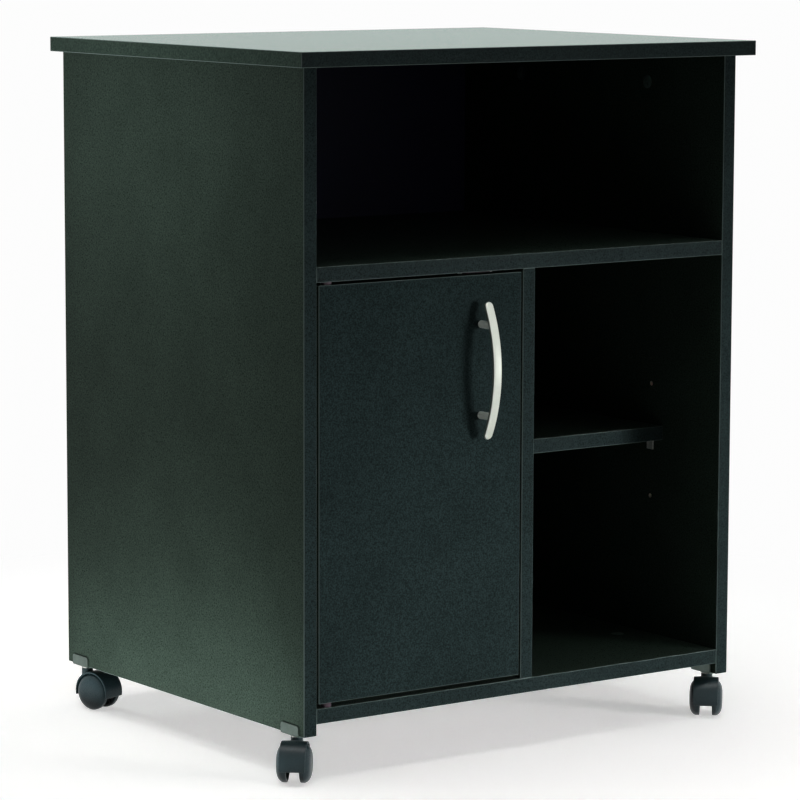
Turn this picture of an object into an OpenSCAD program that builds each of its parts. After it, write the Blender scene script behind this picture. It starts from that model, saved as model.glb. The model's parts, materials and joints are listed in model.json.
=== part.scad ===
// Printer stand on casters: a board cabinet with an open bay under its top,
// a cupboard with an inset door at the left and an open bay with one
// adjustable shelf at the right. Four hooded twin-wheel casters carry it.
// X runs to the right, Y to the back and Z up. The origin lies on the floor
// under the middle of the whole stand, handle and casters included.

/* [Cabinet] */
// Width of the top panel
top_w = 597; // [570:1:680]
// Depth of the top panel, front edge to rear edge
top_d = 495; // [460:1:560]
// Height from the floor to the upper face of the top panel
total_h = 750; // [720:1:820]
// Thickness of the boards
board_t = 15.9; // [15:0.1:18]
// Width of the eased corner along each edge of a board
edge_ease = 0.6; // [0.3:0.1:1]
// How far the top panel stands out past each side panel
top_side_lip = 14; // [6:0.5:25]
// How far the top panel stands out past the front edges
top_front_lip = 17; // [6:0.5:28]
// How far the top panel stands out past the back
top_back_lip = 1; // [1:0.5:10]
// Thickness of the hardboard back
back_t = 3; // [2.5:0.1:5]
// How far the back stays inside the outer edges it is nailed to
back_margin = 2; // [1:0.5:4]
// Clear height of the open bay under the top panel
top_bay_h = 202; // [160:1:240]
// Height of the bottom shelf above the lower edges of the side panels
bottom_shelf_lift = 12.2; // [12:0.1:30]
// Middle of the divider, to the right of the middle of the cabinet
divider_x = 2.5; // [-30:0.5:30]

/* [Adjustable shelf] */
// Distance from the front edges back to the front edge of the shelf
shelf_setback = 95; // [60:1:105]
// Gap between the shelf and the back
shelf_back_gap = 3; // [1:0.5:10]
// Gap between the shelf and the panel at each end
shelf_end_gap = 2; // [1.7:0.1:3]
// Number of rows of pin holes
pin_rows = 3; // [2:1:4]
// Row that carries the shelf, counted from the lowest
pin_row_used = 2; // [1:1:2]
// Height of the lowest row above the bottom shelf
pin_row_first = 157.4; // [120:0.1:180]
// Height from one row to the next
pin_row_pitch = 64; // [32:32:64]
// Distance of the front column of holes from the front edges
pin_column_front = 118.5; // [115:0.5:150]
// Distance of the rear column of holes from the rear edges
pin_column_back = 85; // [60:0.5:120]
// Diameter of a pin hole
pin_hole_d = 5; // [4:0.1:7]
// Depth of a pin hole
pin_hole_depth = 10; // [8:0.5:11]
// Width of the bracket on a shelf pin
pin_bracket_w = 10; // [8:0.5:14]
// Length of the bracket's leg under the shelf
pin_bracket_reach = 10; // [7:0.5:14]
// Height of the bracket's leg on the panel
pin_bracket_drop = 13; // [10:0.5:18]
// Thickness of the bracket
pin_bracket_t = 1.5; // [1:0.1:2]

/* [Door] */
// Gap at the hinged edge
door_gap_hinge = 2.5; // [2:0.1:4]
// Gap at the free edge
door_gap_free = 2.3; // [1.5:0.1:4]
// Gap above the door
door_gap_top = 3.1; // [2:0.1:4]
// Gap below the door
door_gap_bottom = 4.8; // [2:0.1:6]
// Extra distance of the pivot from the hinged edge, past what the swing needs
pivot_margin = 2.6; // [1:0.1:6]
// Diameter of a pivot pin
pivot_d = 5; // [4:0.1:6]
// Length of a pivot pin inside the door
pivot_in_door = 22; // [15:0.5:35]
// Length of a pivot pin inside its bush's barrel
pivot_in_bush = 8; // [6:0.5:9.5]
// Diameter of a bush's flange, which spaces the door from the shelf
bush_flange_d = 11.5; // [10:0.1:13]
// Diameter of a bush's barrel
bush_barrel_d = 8; // [7.5:0.1:9]
// Length of a bush's barrel
bush_barrel_len = 10.5; // [10:0.5:12]
// Radial clearance of a pivot pin in its bush
pivot_clearance = 0.06; // [0.02:0.01:0.1]

/* [Handle] */
// Distance from the door's free edge to the handle
handle_inset = 53; // [35:1:90]
// Distance from the door's upper edge to the middle of the handle
handle_drop = 100; // [90:1:200]
// Distance between the middles of the two posts
handle_pitch = 96; // [64:32:96]
// Length of the bar along its chord
bar_len = 145; // [125:1:180]
// Width of the bar
bar_w = 10; // [8:0.1:14]
// Thickness of the bar
bar_t = 5; // [4:0.1:7]
// Radius of the bar's bow, to the middle of its thickness
bow_r = 155; // [130:1:260]
// Radius of the bar's long edges
bar_edge_r = 1.8; // [0.5:0.1:1.9]
// Distance from the door to the middle of the bar's thickness, at the posts
handle_reach = 21; // [16:0.5:26]
// Diameter of a post
post_d = 8; // [6:0.1:10]
// Diameter of a handle screw
handle_screw_d = 4; // [3:0.5:4.5]
// Length of a handle screw's thread inside its post
handle_screw_grip = 10; // [6:0.5:11]

/* [Catch] */
// Distance from the divider to the middle of the catch
catch_inset = 45; // [40:1:90]
// Length of the catch's housing
catch_len = 30; // [24:0.5:36]
// Depth of the catch's housing, front to back
catch_depth = 14; // [11:0.5:20]
// Height of the catch's housing
catch_h = 14; // [13:0.5:18]
// Length of the screw ear at each end of the housing
catch_ear = 9; // [8:0.5:12]
// Thickness of the screw ears
catch_ear_t = 2.5; // [2:0.1:4]
// Thickness of a pole plate
pole_t = 1.5; // [1:0.1:1.8]
// Thickness of the magnet between the pole plates
magnet_t = 4; // [3:0.1:4.5]
// How far the pole plates stand out of the housing
pole_reach = 1; // [0.5:0.1:2]
// Gap between the pole plates and the strike plate when the door is shut
catch_gap = 0.3; // [0.2:0.05:0.8]
// Thickness of the strike plate on the door
strike_t = 1.2; // [1:0.1:2]

/* [Board fasteners] */
// Distance of the front cam locks from the front edges
cam_row_front = 132; // [125:1:160]
// Distance of the rear cam locks from the rear edges
cam_row_back = 110; // [100:1:140]
// Distance of the front dowels from the front edges
dowel_row_front = 60; // [48:1:80]
// Distance of the rear dowels from the rear edges
dowel_row_back = 50; // [42:1:55]
// Distance from a board's end to the middle of its cam lock
cam_reach = 34; // [24:1:36]
// Diameter of a cam lock
cam_d = 15; // [12:0.5:16]
// Depth of a cam lock
cam_depth = 12.5; // [10:0.1:13]
// Diameter of a cam bolt's shank
bolt_d = 6; // [5:0.1:6.5]
// Length of a cam bolt's thread inside the other board
bolt_grip = 11; // [8:0.5:12]
// Diameter of a dowel
dowel_d = 8; // [6:0.1:8.5]
// Length of a dowel in the board that it ends in
dowel_in_end = 20; // [15:0.5:24]
// Length of a dowel in the board that it stands on
dowel_in_face = 10; // [8:0.5:12]
// Distance from one nail of the back to the next, at most
nail_pitch = 120; // [80:5:160]
// Diameter of a nail
nail_d = 1.5; // [1.2:0.1:2]
// Length of a nail
nail_len = 18; // [14:0.5:25]

/* [Casters] */
// Height from the floor to the lower edges of the side panels
caster_h = 48; // [47.5:0.5:60]
// Diameter of a wheel
wheel_d = 40; // [36:0.5:40]
// Width over the two wheels of a caster
caster_w = 36.8; // [34:0.2:42]
// Width between the two wheels of a caster
wheel_gap = 15; // [14:0.2:16]
// Width of the flat tread of a wheel
tread_w = 3.8; // [3:0.1:5]
// Thickness of a wheel's wall
wheel_wall = 2.4; // [2:0.1:3]
// Number of ribs inside a wheel
wheel_ribs = 6; // [4:1:8]
// Distance from the swivel axis back to the axle
trail = 17; // [15:0.5:18]
// Diameter of an axle
axle_d = 4; // [3:0.1:5]
// Radial gap between a wheel and its hood
hood_gap = 1.2; // [1:0.1:2]
// Thickness of the hood
hood_t = 2.2; // [1.8:0.1:2.4]
// Width of the hood
hood_w = 27.6; // [24:0.2:29]
// How far the ends of the hood reach below the axle
hood_drop = 4.6; // [0:0.1:8]
// Thickness of the web between the wheels
web_t = 13.4; // [13:0.1:13.8]
// Diameter of the web round the axle
web_d = 20; // [14:0.5:24]
// Diameter of the boss that holds the stem
boss_d = 12.8; // [12:0.1:13.4]
// Diameter of a stem
stem_d = 8; // [7:0.1:8.4]
// Length of a stem above the side panel's lower edge
stem_len = 32; // [25:0.5:38]
// Depth of the stem in its caster
stem_in_boss = 18; // [14:0.5:20]
// Radial clearance of a stem in its caster and of a wheel on its axle
swivel_clearance = 0.06; // [0.02:0.01:0.1]
// Outer diameter of a stem socket
socket_d = 10; // [9.8:0.1:10.5]
// Length of the clip that a caster's socket is held by
clip_len = 32; // [24:0.5:44]
// Height of the clip's flanges on the side panel
clip_flange_h = 10.5; // [8:0.1:11]
// Thickness of the clip
clip_t = 1.5; // [1:0.1:1.8]
// Distance from the front edge to the stem of a front caster
caster_inset_front = 25; // [23:0.5:34]
// Distance from the rear edge to the stem of a rear caster
caster_inset_back = 28; // [23:0.5:34]
// Direction in which the front left caster trails, and its opposite corner mirrors
trail_angle_front_left = -132; // [-175:1:-95]
// Direction in which the front right caster trails
trail_angle_front_right = -132; // [-175:1:-95]
// Direction in which the rear left caster trails
trail_angle_rear_left = -73; // [-110:1:-60]

/* [Hidden] */
$fn = 48;

// Colours of the real finishes
board_colour = [0.13, 0.16, 0.16];
back_colour = [0.10, 0.10, 0.16];
nickel_colour = [0.74, 0.75, 0.71];
post_colour = [0.36, 0.39, 0.37];
steel_colour = [0.45, 0.48, 0.46];
wood_colour = [0.78, 0.65, 0.45];
nylon_colour = [0.30, 0.18, 0.20];
caster_colour = [0.14, 0.17, 0.18];
magnet_colour = [0.20, 0.20, 0.20];

// A hair of clearance where one fixed piece sits in another
seat = 0.05;
// Extra length of a cut past the face that it opens through
over = 1;
// Space left at the blind end of a bore, past the piece that it holds
bore_end = 0.5;
// How far shapes that are joined reach into each other
fuse = 0.3;

// Cabinet, measured from the front edges, the middle and the floor
case_w = top_w - 2 * top_side_lip;
case_d = top_d - top_front_lip - top_back_lip - back_t;
side_z = caster_h;
side_top = total_h - board_t;
inner_x = case_w / 2 - board_t;
middle_top = side_top - top_bay_h;
middle_z = middle_top - board_t;
bottom_z = side_z + bottom_shelf_lift;
bottom_top = bottom_z + board_t;
divider_left = divider_x - board_t / 2;
divider_right = divider_x + board_t / 2;

// Where the stand's own frame has the front edges
bow_mid = sqrt(pow(bow_r, 2) - pow(handle_pitch / 2, 2));
bar_mid_reach = handle_reach + bow_r - bow_mid;
reach_front = max(top_front_lip, bar_mid_reach + bar_t / 2);
reach_back = case_d + back_t + top_back_lip;
case_y = -(reach_back - reach_front) / 2;

// Adjustable shelf and its pins
pin_r = pin_hole_d / 2;
pin_z = [for (row = [0 : pin_rows - 1]) bottom_top + pin_row_first + row * pin_row_pitch];
pin_y = [pin_column_front, case_d - pin_column_back];
shelf_z = pin_z[pin_row_used - 1] + pin_r;
shelf_d = case_d - shelf_back_gap - shelf_setback;
shelf_x0 = divider_right + shelf_end_gap;
shelf_x1 = inner_x - shelf_end_gap;

// Door and its pivots
door_x0 = -inner_x + door_gap_hinge;
door_x1 = divider_left - door_gap_free;
door_z0 = bottom_top + door_gap_bottom;
door_z1 = middle_z - door_gap_top;
pivot_y = board_t / 2;
pivot_inset = (pow(pivot_y, 2) - pow(door_gap_hinge, 2)) / (2 * door_gap_hinge) + pivot_margin;
pivot_x = door_x0 + pivot_inset;
pivot_bore_depth = pivot_in_door + bore_end;
pivot_nose = 0.8;
bush_floor = 1;
flange_play = 0.3;

// Handle
handle_x = door_x1 - handle_inset;
handle_z = door_z1 - handle_drop;
bow_y = -handle_reach + bow_mid;
bow_half = asin((bar_len - bar_w) / 2 / bow_r);
handle_post_z = [handle_z - handle_pitch / 2, handle_z + handle_pitch / 2];
screw_head_r = handle_screw_d;
screw_head_h = 0.6 * handle_screw_d;
screw_play = 0.3;
screw_cross_w = 0.9;

// Catch: its two pole plates with the magnet between them lie low in the housing
catch_x = divider_left - catch_inset;
catch_wall = 1.8;
pole_y = board_t + strike_t + catch_gap;
catch_y = pole_y + pole_reach;
pole_len = catch_len - 2 * catch_wall;
pole_end = catch_y + catch_depth - catch_wall - bore_end;
poles_h = 2 * pole_t + magnet_t;
poles_z = middle_z - catch_h + catch_wall + poles_h / 2;
wood_screw_r = 1.5;
wood_screw_len = 10;
wood_head_r = 2 * wood_screw_r;
wood_head_h = 0.9 * wood_screw_r;
catch_screw_x = catch_len / 2 + catch_ear / 2;
catch_slot = 1.5;
strike_margin = 1;
strike_corner_r = 2;

// Board fasteners
cam_y = [cam_row_front, case_d - cam_row_back];
dowel_y = [dowel_row_front, case_d - dowel_row_back];
bolt_thread_r = 2.5;
bolt_clearance = 0.5;
bolt_bore_r = bolt_d / 2 + bolt_clearance;
bolt_neck_r = 2;
bolt_neck_gap = 1;
bolt_head_rim = 0.5;
bolt_head_r = bolt_d / 2 + bolt_head_rim;
bolt_head_len = 4;
bolt_shank_len = cam_reach - cam_d / 2 - bolt_neck_gap;
cam_pocket_play = 0.2;
cam_pocket_r = bolt_head_r + cam_pocket_play;
cam_cross_len = 8;
cam_cross_w = 1.2;
cam_cross_depth = 2;
nail_inset = 40;
nail_head_r = 1.25 * nail_d;
nail_head_t = 0.5 * nail_d;

// Casters
wheel_r = wheel_d / 2;
axle_z = wheel_r;
axle_r = axle_d / 2;
wheel_in = wheel_gap / 2;
wheel_out = caster_w / 2;
rim_w = 1;
dome_foot = wheel_in + rim_w;
dome_spread = 1.03;
dome_full_r = dome_spread * wheel_r;
tread_out = dome_foot + tread_w;
rim_ease = 0.8;
hub_wall = 2.5;
hub_r = axle_r + hub_wall;
hub_play = 0.25;
hub_end = web_t / 2 + hub_play;
hub_floor = 0.8;
axle_bore_end = wheel_out - wheel_wall - hub_floor;
axle_end = axle_bore_end - bore_end;
rib_t = 1.2;
rib_setback = 2;
rib_w = 3;
rib_in = wheel_in + rib_setback;
rib_out = rib_in + rib_w;
hood_in_r = wheel_r + hood_gap;
hood_out_r = hood_in_r + hood_t;
hood_edge = 0.7;
hood_crown = 0.5;
hood_end_angle = asin(hood_drop / hood_in_r);
boss_rise = 0.9;
boss_top = axle_z + hood_out_r + boss_rise;
stem_r = stem_d / 2;
stem_foot = boss_top - stem_in_boss;
clip_z = side_z - clip_t;
clip_play = 0.1;
clip_corner_r = 3;
clip_bend_r = 1.2;
socket_r = socket_d / 2;
socket_flange_w = 2;
socket_flange_r = socket_r + socket_flange_w;
socket_flange_t = 0.8;
socket_wall = 0.7;
stem_headroom = 3;
socket_bore_depth = stem_len + stem_headroom;
collar_setback = 0.4;
collar_r = boss_d / 2 - collar_setback;
collar_play = 0.3;
collar_z = boss_top + collar_play;
stem_nose = 1;
grip_ring_h = 3;
grip_ring_z = side_z + stem_len - 2 * grip_ring_h;
stem_x = case_w / 2 - board_t / 2;
CORNERS = [
    [-stem_x, caster_inset_front, trail_angle_front_left],
    [stem_x, caster_inset_front, trail_angle_front_right],
    [-stem_x, case_d - caster_inset_back, trail_angle_rear_left],
    [stem_x, case_d - caster_inset_back, -180 - trail_angle_front_left]];

// Seams: [place, way from the board that holds the bolt to the board that holds the cam,
// way that the cam faces]
function shelf_seams(z, face) = [for (s = [-1, 1]) for (y = cam_y)
    [[s * inner_x, y, z + board_t / 2], [-s, 0, 0], [0, 0, face]]];
TOP_SEAMS = [for (s = [-1, 1]) for (y = cam_y)
    [[s * (inner_x + board_t / 2), y, side_top], [0, 0, -1], [-s, 0, 0]]];
DIVIDER_SEAMS = [for (end = [[middle_z, -1], [bottom_top, 1]]) for (y = cam_y)
    [[divider_x, y, end[0]], [0, 0, end[1]], [-1, 0, 0]]];
MIDDLE_SEAMS = shelf_seams(middle_z, -1);
BOTTOM_SEAMS = shelf_seams(bottom_z, 1);
SEAMS = concat(TOP_SEAMS, DIVIDER_SEAMS, MIDDLE_SEAMS, BOTTOM_SEAMS);

// The same seams with the dowels' rows in place of the cams' rows
function at_dowel_row(seam) = [[seam[0][0], seam[0][1] == cam_y[0] ? dowel_y[0] : dowel_y[1],
    seam[0][2]], seam[1], seam[2]];

// Turns local Z along a seam's way and local X to the side that its cam faces
module at_seam(seam) {
    z = seam[1];
    x = seam[2];
    y = cross(z, x);
    multmatrix([[x[0], y[0], z[0], seam[0][0]], [x[1], y[1], z[1], seam[0][1]],
        [x[2], y[2], z[2], seam[0][2]], [0, 0, 0, 1]]) children();
}

// Sets what is drawn from the front edges into the stand's own frame
module in_stand() translate([0, case_y, 0]) children();

// A block between two corners
module block(low, high) translate(low) cube(high - low);

// A rectangle with its corners eased
module eased_rect(w, h) polygon([[edge_ease, 0], [w - edge_ease, 0], [w, edge_ease], [w, h - edge_ease],
    [w - edge_ease, h], [edge_ease, h], [0, h - edge_ease], [0, edge_ease]]);

// A board between two corners with all its edges eased
module board(low, high) {
    size = high - low;
    translate(low) intersection() {
        linear_extrude(size[2]) eased_rect(size[0], size[1]);
        translate([0, size[1], 0]) rotate([90, 0, 0]) linear_extrude(size[1]) eased_rect(size[0], size[2]);
        rotate([90, 0, 90]) linear_extrude(size[0]) eased_rect(size[1], size[2]);
    }
}

// A round bar along X
module bar_x(r, x0, x1) translate([x0, 0, 0]) rotate([0, 90, 0]) cylinder(r = r, h = x1 - x0);

// A round bar along Y
module bar_y(r, y0, y1) translate([0, y0, 0]) rotate([-90, 0, 0]) cylinder(r = r, h = y1 - y0);

// Corner points of a rectangle with round corners, about its middle
function round_rect(w, h, r, steps = 6) = [for (q = [0 : 3]) for (i = [0 : steps])
    let (a = 90 * q + 90 * i / steps, sx = q == 0 || q == 3 ? 1 : -1, sy = q < 2 ? 1 : -1)
    [sx * (w / 2 - r) + r * cos(a), sy * (h / 2 - r) + r * sin(a)]];

// Bores that a seam leaves in the board that holds the cam
module cam_board_bores(seam, dowel_seam) {
    at_seam(seam) {
        translate([0, 0, -over]) cylinder(r = bolt_bore_r, h = cam_reach + over);
        translate([board_t / 2 - cam_depth, 0, cam_reach]) bar_x(cam_d / 2, 0, cam_depth + over);
    }
    at_seam(dowel_seam) translate([0, 0, -over])
        cylinder(d = dowel_d + 2 * seat, h = dowel_in_end + bore_end + over);
}

// Bores that a seam leaves in the board that holds the bolt
module bolt_board_bores(seam, dowel_seam) {
    at_seam(seam) translate([0, 0, -bolt_grip - bore_end])
        cylinder(r = bolt_thread_r + seat, h = bolt_grip + bore_end + over);
    at_seam(dowel_seam) translate([0, 0, -dowel_in_face - bore_end])
        cylinder(d = dowel_d + 2 * seat, h = dowel_in_face + bore_end + over);
}

module cam_bores(seams) for (seam = seams) cam_board_bores(seam, at_dowel_row(seam));

module bolt_bores(seams) for (seam = seams) bolt_board_bores(seam, at_dowel_row(seam));

function on_side(seams, s) = [for (seam = seams) if (seam[0][0] * s > 0) seam];

function at_height(seams, z) = [for (seam = seams) if (seam[0][2] == z) seam];

// Pin holes into a panel whose face is at x, away from the bay
module pin_holes(x, way) for (y = pin_y) for (z = pin_z) translate([x, y, z])
    bar_x(pin_r, min(-way * over, way * pin_hole_depth), max(-way * over, way * pin_hole_depth));

module top_panel() color(board_colour) in_stand() difference() {
    board([-top_w / 2, -top_front_lip, side_top], [top_w / 2, reach_back, total_h]);
    bolt_bores(TOP_SEAMS);
}

module side_panel(s) color(board_colour) in_stand() difference() {
    board([min(s * inner_x, s * case_w / 2), 0, side_z],
        [max(s * inner_x, s * case_w / 2), case_d, side_top]);
    cam_bores(on_side(TOP_SEAMS, s));
    bolt_bores(on_side(MIDDLE_SEAMS, s));
    bolt_bores(on_side(BOTTOM_SEAMS, s));
    for (corner = CORNERS) if (corner[0] * s > 0)
        translate([corner[0], corner[1], side_z - over])
            cylinder(r = socket_r + seat, h = socket_bore_depth + over);
    if (s > 0) pin_holes(inner_x, 1);
}

module middle_shelf() color(board_colour) in_stand() difference() {
    board([-inner_x, 0, middle_z], [inner_x, case_d, middle_top]);
    cam_bores(MIDDLE_SEAMS);
    bolt_bores(at_height(DIVIDER_SEAMS, middle_z));
    translate([pivot_x, pivot_y, middle_z - over])
        cylinder(d = bush_barrel_d + 2 * seat, h = bush_barrel_len + bore_end + over);
}

module bottom_shelf() color(board_colour) in_stand() difference() {
    board([-inner_x, 0, bottom_z], [inner_x, case_d, bottom_top]);
    cam_bores(BOTTOM_SEAMS);
    bolt_bores(at_height(DIVIDER_SEAMS, bottom_top));
    translate([pivot_x, pivot_y, bottom_top - bush_barrel_len - bore_end])
        cylinder(d = bush_barrel_d + 2 * seat, h = bush_barrel_len + bore_end + over);
}

module divider() color(board_colour) in_stand() difference() {
    board([divider_left, 0, bottom_top], [divider_right, case_d, middle_z]);
    cam_bores(DIVIDER_SEAMS);
    pin_holes(divider_right, -1);
}

module back_panel() color(back_colour) in_stand()
    block([-case_w / 2 + back_margin, case_d, bottom_z + back_margin],
        [case_w / 2 - back_margin, case_d + back_t, side_top]);

module adjustable_shelf() color(board_colour) in_stand()
    board([shelf_x0, shelf_setback, shelf_z], [shelf_x1, shelf_setback + shelf_d, shelf_z + board_t]);

// Bracket pin: a peg in the panel, a leg on the panel and a leg under the shelf
module shelf_pin() {
    bar_x(pin_r - seat, -pin_hole_depth + bore_end, pin_bracket_t / 2);
    block([0, -pin_bracket_w / 2, pin_r - pin_bracket_drop], [pin_bracket_t, pin_bracket_w / 2, pin_r]);
    intersection() {
        block([0, -pin_bracket_w / 2, pin_r - pin_bracket_t],
            [pin_bracket_reach, pin_bracket_w / 2, pin_r]);
        translate([pin_bracket_reach - pin_bracket_w / 2, 0, pin_r - pin_bracket_t - over]) {
            cylinder(d = pin_bracket_w, h = pin_bracket_t + 2 * over);
            translate([-pin_bracket_reach, -pin_bracket_w / 2, 0])
                cube([pin_bracket_reach, pin_bracket_w, pin_bracket_t + 2 * over]);
        }
    }
}

module shelf_pins() color(nickel_colour) in_stand() for (y = pin_y) {
    translate([divider_right, y, pin_z[pin_row_used - 1]]) shelf_pin();
    translate([inner_x, y, pin_z[pin_row_used - 1]]) mirror([1, 0, 0]) shelf_pin();
}

// Cam lock: a drum with a screwdriver cross and a pocket that takes the bolt's head
module cam_lock() difference() {
    translate([board_t / 2 - cam_depth + seat, 0, cam_reach])
        bar_x(cam_d / 2 - seat, 0, cam_depth - seat);
    translate([0, 0, cam_reach - cam_d / 2 - over])
        cylinder(r = cam_pocket_r, h = cam_d / 2 + over + bolt_head_len / 2 + bore_end);
    for (turn = [0, 90]) translate([board_t / 2, 0, cam_reach]) rotate([turn, 0, 0])
        block([-cam_cross_depth, -cam_cross_len / 2, -cam_cross_w / 2],
            [over, cam_cross_len / 2, cam_cross_w / 2]);
}

module cam_locks() color(steel_colour) in_stand() for (seam = SEAMS) at_seam(seam) cam_lock();

// Cam bolt: a thread in one board, a shank through the other and a head in the cam
module cam_bolt() {
    translate([0, 0, -bolt_grip]) cylinder(r = bolt_thread_r, h = bolt_grip + seat);
    cylinder(d = bolt_d, h = bolt_shank_len);
    cylinder(r = bolt_neck_r, h = cam_reach);
    translate([0, 0, cam_reach - bolt_head_len / 2]) cylinder(r = bolt_head_r, h = bolt_head_len);
}

module cam_bolts() color(steel_colour) in_stand() for (seam = SEAMS) at_seam(seam) cam_bolt();

module wood_dowels() color(wood_colour) in_stand() for (seam = SEAMS) at_seam(at_dowel_row(seam))
    translate([0, 0, -dowel_in_face]) cylinder(d = dowel_d, h = dowel_in_face + dowel_in_end);

// Nail driven from behind through the back into a board's edge
module back_nail(x, z) translate([x, case_d + back_t, z]) {
    bar_y(nail_d / 2, -nail_len, nail_head_t / 2);
    bar_y(nail_head_r, 0, nail_head_t);
}

// Places evenly spaced between two ends, no further apart than the pitch
function spaced(low, high) = let (n = ceil((high - low) / nail_pitch))
    [for (i = [0 : n]) low + (high - low) * i / n];

module back_nails() color(steel_colour) in_stand() {
    for (s = [-1, 1]) for (z = spaced(bottom_z + nail_inset, side_top - nail_inset))
        back_nail(s * stem_x, z);
    for (x = spaced(-inner_x + nail_inset, inner_x - nail_inset)) {
        back_nail(x, bottom_z + board_t / 2);
        back_nail(x, middle_z + board_t / 2);
    }
    for (z = spaced(bottom_top + nail_inset, middle_z - nail_inset)) back_nail(divider_x, z);
}

// Flanged bush: its flange spaces the door from the shelf, its barrel sits in the shelf
module hinge_bush(flange_t) difference() {
    union() {
        cylinder(d = bush_flange_d, h = flange_t);
        translate([0, 0, -bush_barrel_len]) cylinder(d = bush_barrel_d, h = bush_barrel_len + seat);
    }
    translate([0, 0, -bush_barrel_len + bush_floor])
        cylinder(r = pivot_d / 2 + pivot_clearance, h = bush_barrel_len + flange_t);
}

module hinge_bush_bottom() color(nylon_colour) in_stand() translate([pivot_x, pivot_y, bottom_top])
    hinge_bush(door_gap_bottom - seat);

module hinge_bush_top() color(nylon_colour) in_stand() translate([pivot_x, pivot_y, middle_z])
    mirror([0, 0, 1]) hinge_bush(door_gap_top - flange_play);

module door() color(board_colour) in_stand() difference() {
    board([door_x0, 0, door_z0], [door_x1, board_t, door_z1]);
    translate([pivot_x, pivot_y, door_z0 - over])
        cylinder(r = pivot_d / 2 + seat, h = pivot_bore_depth + over);
    translate([pivot_x, pivot_y, door_z1 - pivot_bore_depth])
        cylinder(r = pivot_d / 2 + seat, h = pivot_bore_depth + over);
    for (z = handle_post_z) translate([handle_x, 0, z])
        bar_y(handle_screw_d / 2 + screw_play, -over, board_t + over);
}

// Pivot pin: a round pin with a chamfered nose, standing out of the door's edge
module hinge_pin(gap) {
    straight = gap + pivot_in_bush - pivot_nose;
    translate([0, 0, -pivot_in_door]) cylinder(d = pivot_d, h = pivot_in_door + straight);
    translate([0, 0, straight]) cylinder(d1 = pivot_d, d2 = pivot_d - 2 * pivot_nose, h = pivot_nose);
}

module hinge_pin_top() color(steel_colour) in_stand() translate([pivot_x, pivot_y, door_z1])
    hinge_pin(door_gap_top);

module hinge_pin_bottom() color(steel_colour) in_stand() translate([pivot_x, pivot_y, door_z0])
    mirror([0, 0, 1]) hinge_pin(door_gap_bottom);

// Sets local X outwards from the bow's middle, with local Z across the bar
module at_bow(angle) translate([handle_x, bow_y, handle_z]) rotate([0, 90, 0])
    rotate([0, 0, 270 + angle]) children();

module handle_bar() color(nickel_colour) in_stand() {
    at_bow(-bow_half) rotate_extrude(angle = 2 * bow_half, $fn = 180)
        translate([bow_r, 0]) polygon(round_rect(bar_t, bar_w, bar_edge_r));
    for (end = [-1, 1]) at_bow(end * bow_half) translate([bow_r, 0, 0]) rotate([0, 90, 0])
        rotate([0, 0, end > 0 ? 0 : 180]) rotate_extrude(angle = 180, $fn = 48) intersection() {
            polygon(round_rect(bar_w, bar_t, bar_edge_r));
            translate([0, -bar_t]) square([bar_w, 2 * bar_t]);
        }
}

module handle_posts() color(post_colour) in_stand() for (z = handle_post_z) difference() {
    intersection() {
        translate([handle_x, 0, z]) bar_y(post_d / 2, -bar_mid_reach, 0);
        translate([handle_x - post_d, bow_y, handle_z])
            bar_x(bow_r - bar_t / 2 - seat, 0, 2 * post_d, $fn = 180);
    }
    translate([handle_x, 0, z]) bar_y(handle_screw_d / 2 + seat, -handle_screw_grip - bore_end, over);
}

module handle_screws() color(steel_colour) in_stand() for (z = handle_post_z)
    translate([handle_x, 0, z]) difference() {
        union() {
            bar_y(handle_screw_d / 2, -handle_screw_grip, board_t + seat);
            bar_y(screw_head_r, board_t, board_t + screw_head_h);
        }
        translate([0, board_t + screw_head_h, 0]) rotate([90, 0, 0])
            screw_cross(screw_head_r, screw_head_h / 2);
    }

// Housing of the magnetic catch, with a slotted ear at each end
module catch_housing() color(nylon_colour) in_stand() translate([catch_x, catch_y, middle_z])
    difference() {
        union() {
            block([-catch_len / 2, 0, -catch_h], [catch_len / 2, catch_depth, 0]);
            block([-catch_len / 2 - catch_ear, 0, -catch_ear_t],
                [catch_len / 2 + catch_ear, catch_depth, 0]);
        }
        block([-pole_len / 2 - seat, -over, catch_wall - catch_h - seat],
            [pole_len / 2 + seat, catch_depth - catch_wall, catch_wall - catch_h + poles_h + seat]);
        for (s = [-1, 1]) for (slot = [-catch_slot, 0, catch_slot])
            translate([s * catch_screw_x, catch_depth / 2 + slot, -catch_ear_t - over])
                cylinder(r = wood_screw_r + screw_play, h = catch_ear_t + 2 * over);
    }

module catch_poles() color(steel_colour) in_stand() for (z = [-poles_h / 2, poles_h / 2 - pole_t])
    block([catch_x - pole_len / 2, pole_y, poles_z + z],
        [catch_x + pole_len / 2, pole_end, poles_z + z + pole_t]);

module catch_magnet() color(magnet_colour) in_stand()
    block([catch_x - pole_len / 2, catch_y + bore_end, poles_z - magnet_t / 2 + seat],
        [catch_x + pole_len / 2, pole_end, poles_z + magnet_t / 2 - seat]);

// Cross recess in the head of a screw, cut down from zero along local Z
module screw_cross(head_r, depth) for (turn = [0, 90]) rotate([0, 0, turn])
    block([-head_r / 2, -screw_cross_w / 2, -over], [head_r / 2, screw_cross_w / 2, depth]);

// Shank of a wood screw from zero along local Z, with a point as long as it is thick
module wood_shank() {
    straight = wood_screw_len - 2 * wood_screw_r;
    cylinder(r = wood_screw_r, h = straight);
    translate([0, 0, straight]) cylinder(r1 = wood_screw_r, r2 = 0.2 * wood_screw_r, h = 2 * wood_screw_r);
}

// Wood screw with a pan head, which lies on what it holds
module pan_screw() {
    wood_shank();
    translate([0, 0, -wood_head_h]) difference() {
        cylinder(r1 = 0.75 * wood_head_r, r2 = wood_head_r, h = wood_head_h);
        screw_cross(wood_head_r, wood_head_h / 2);
    }
}

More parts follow.
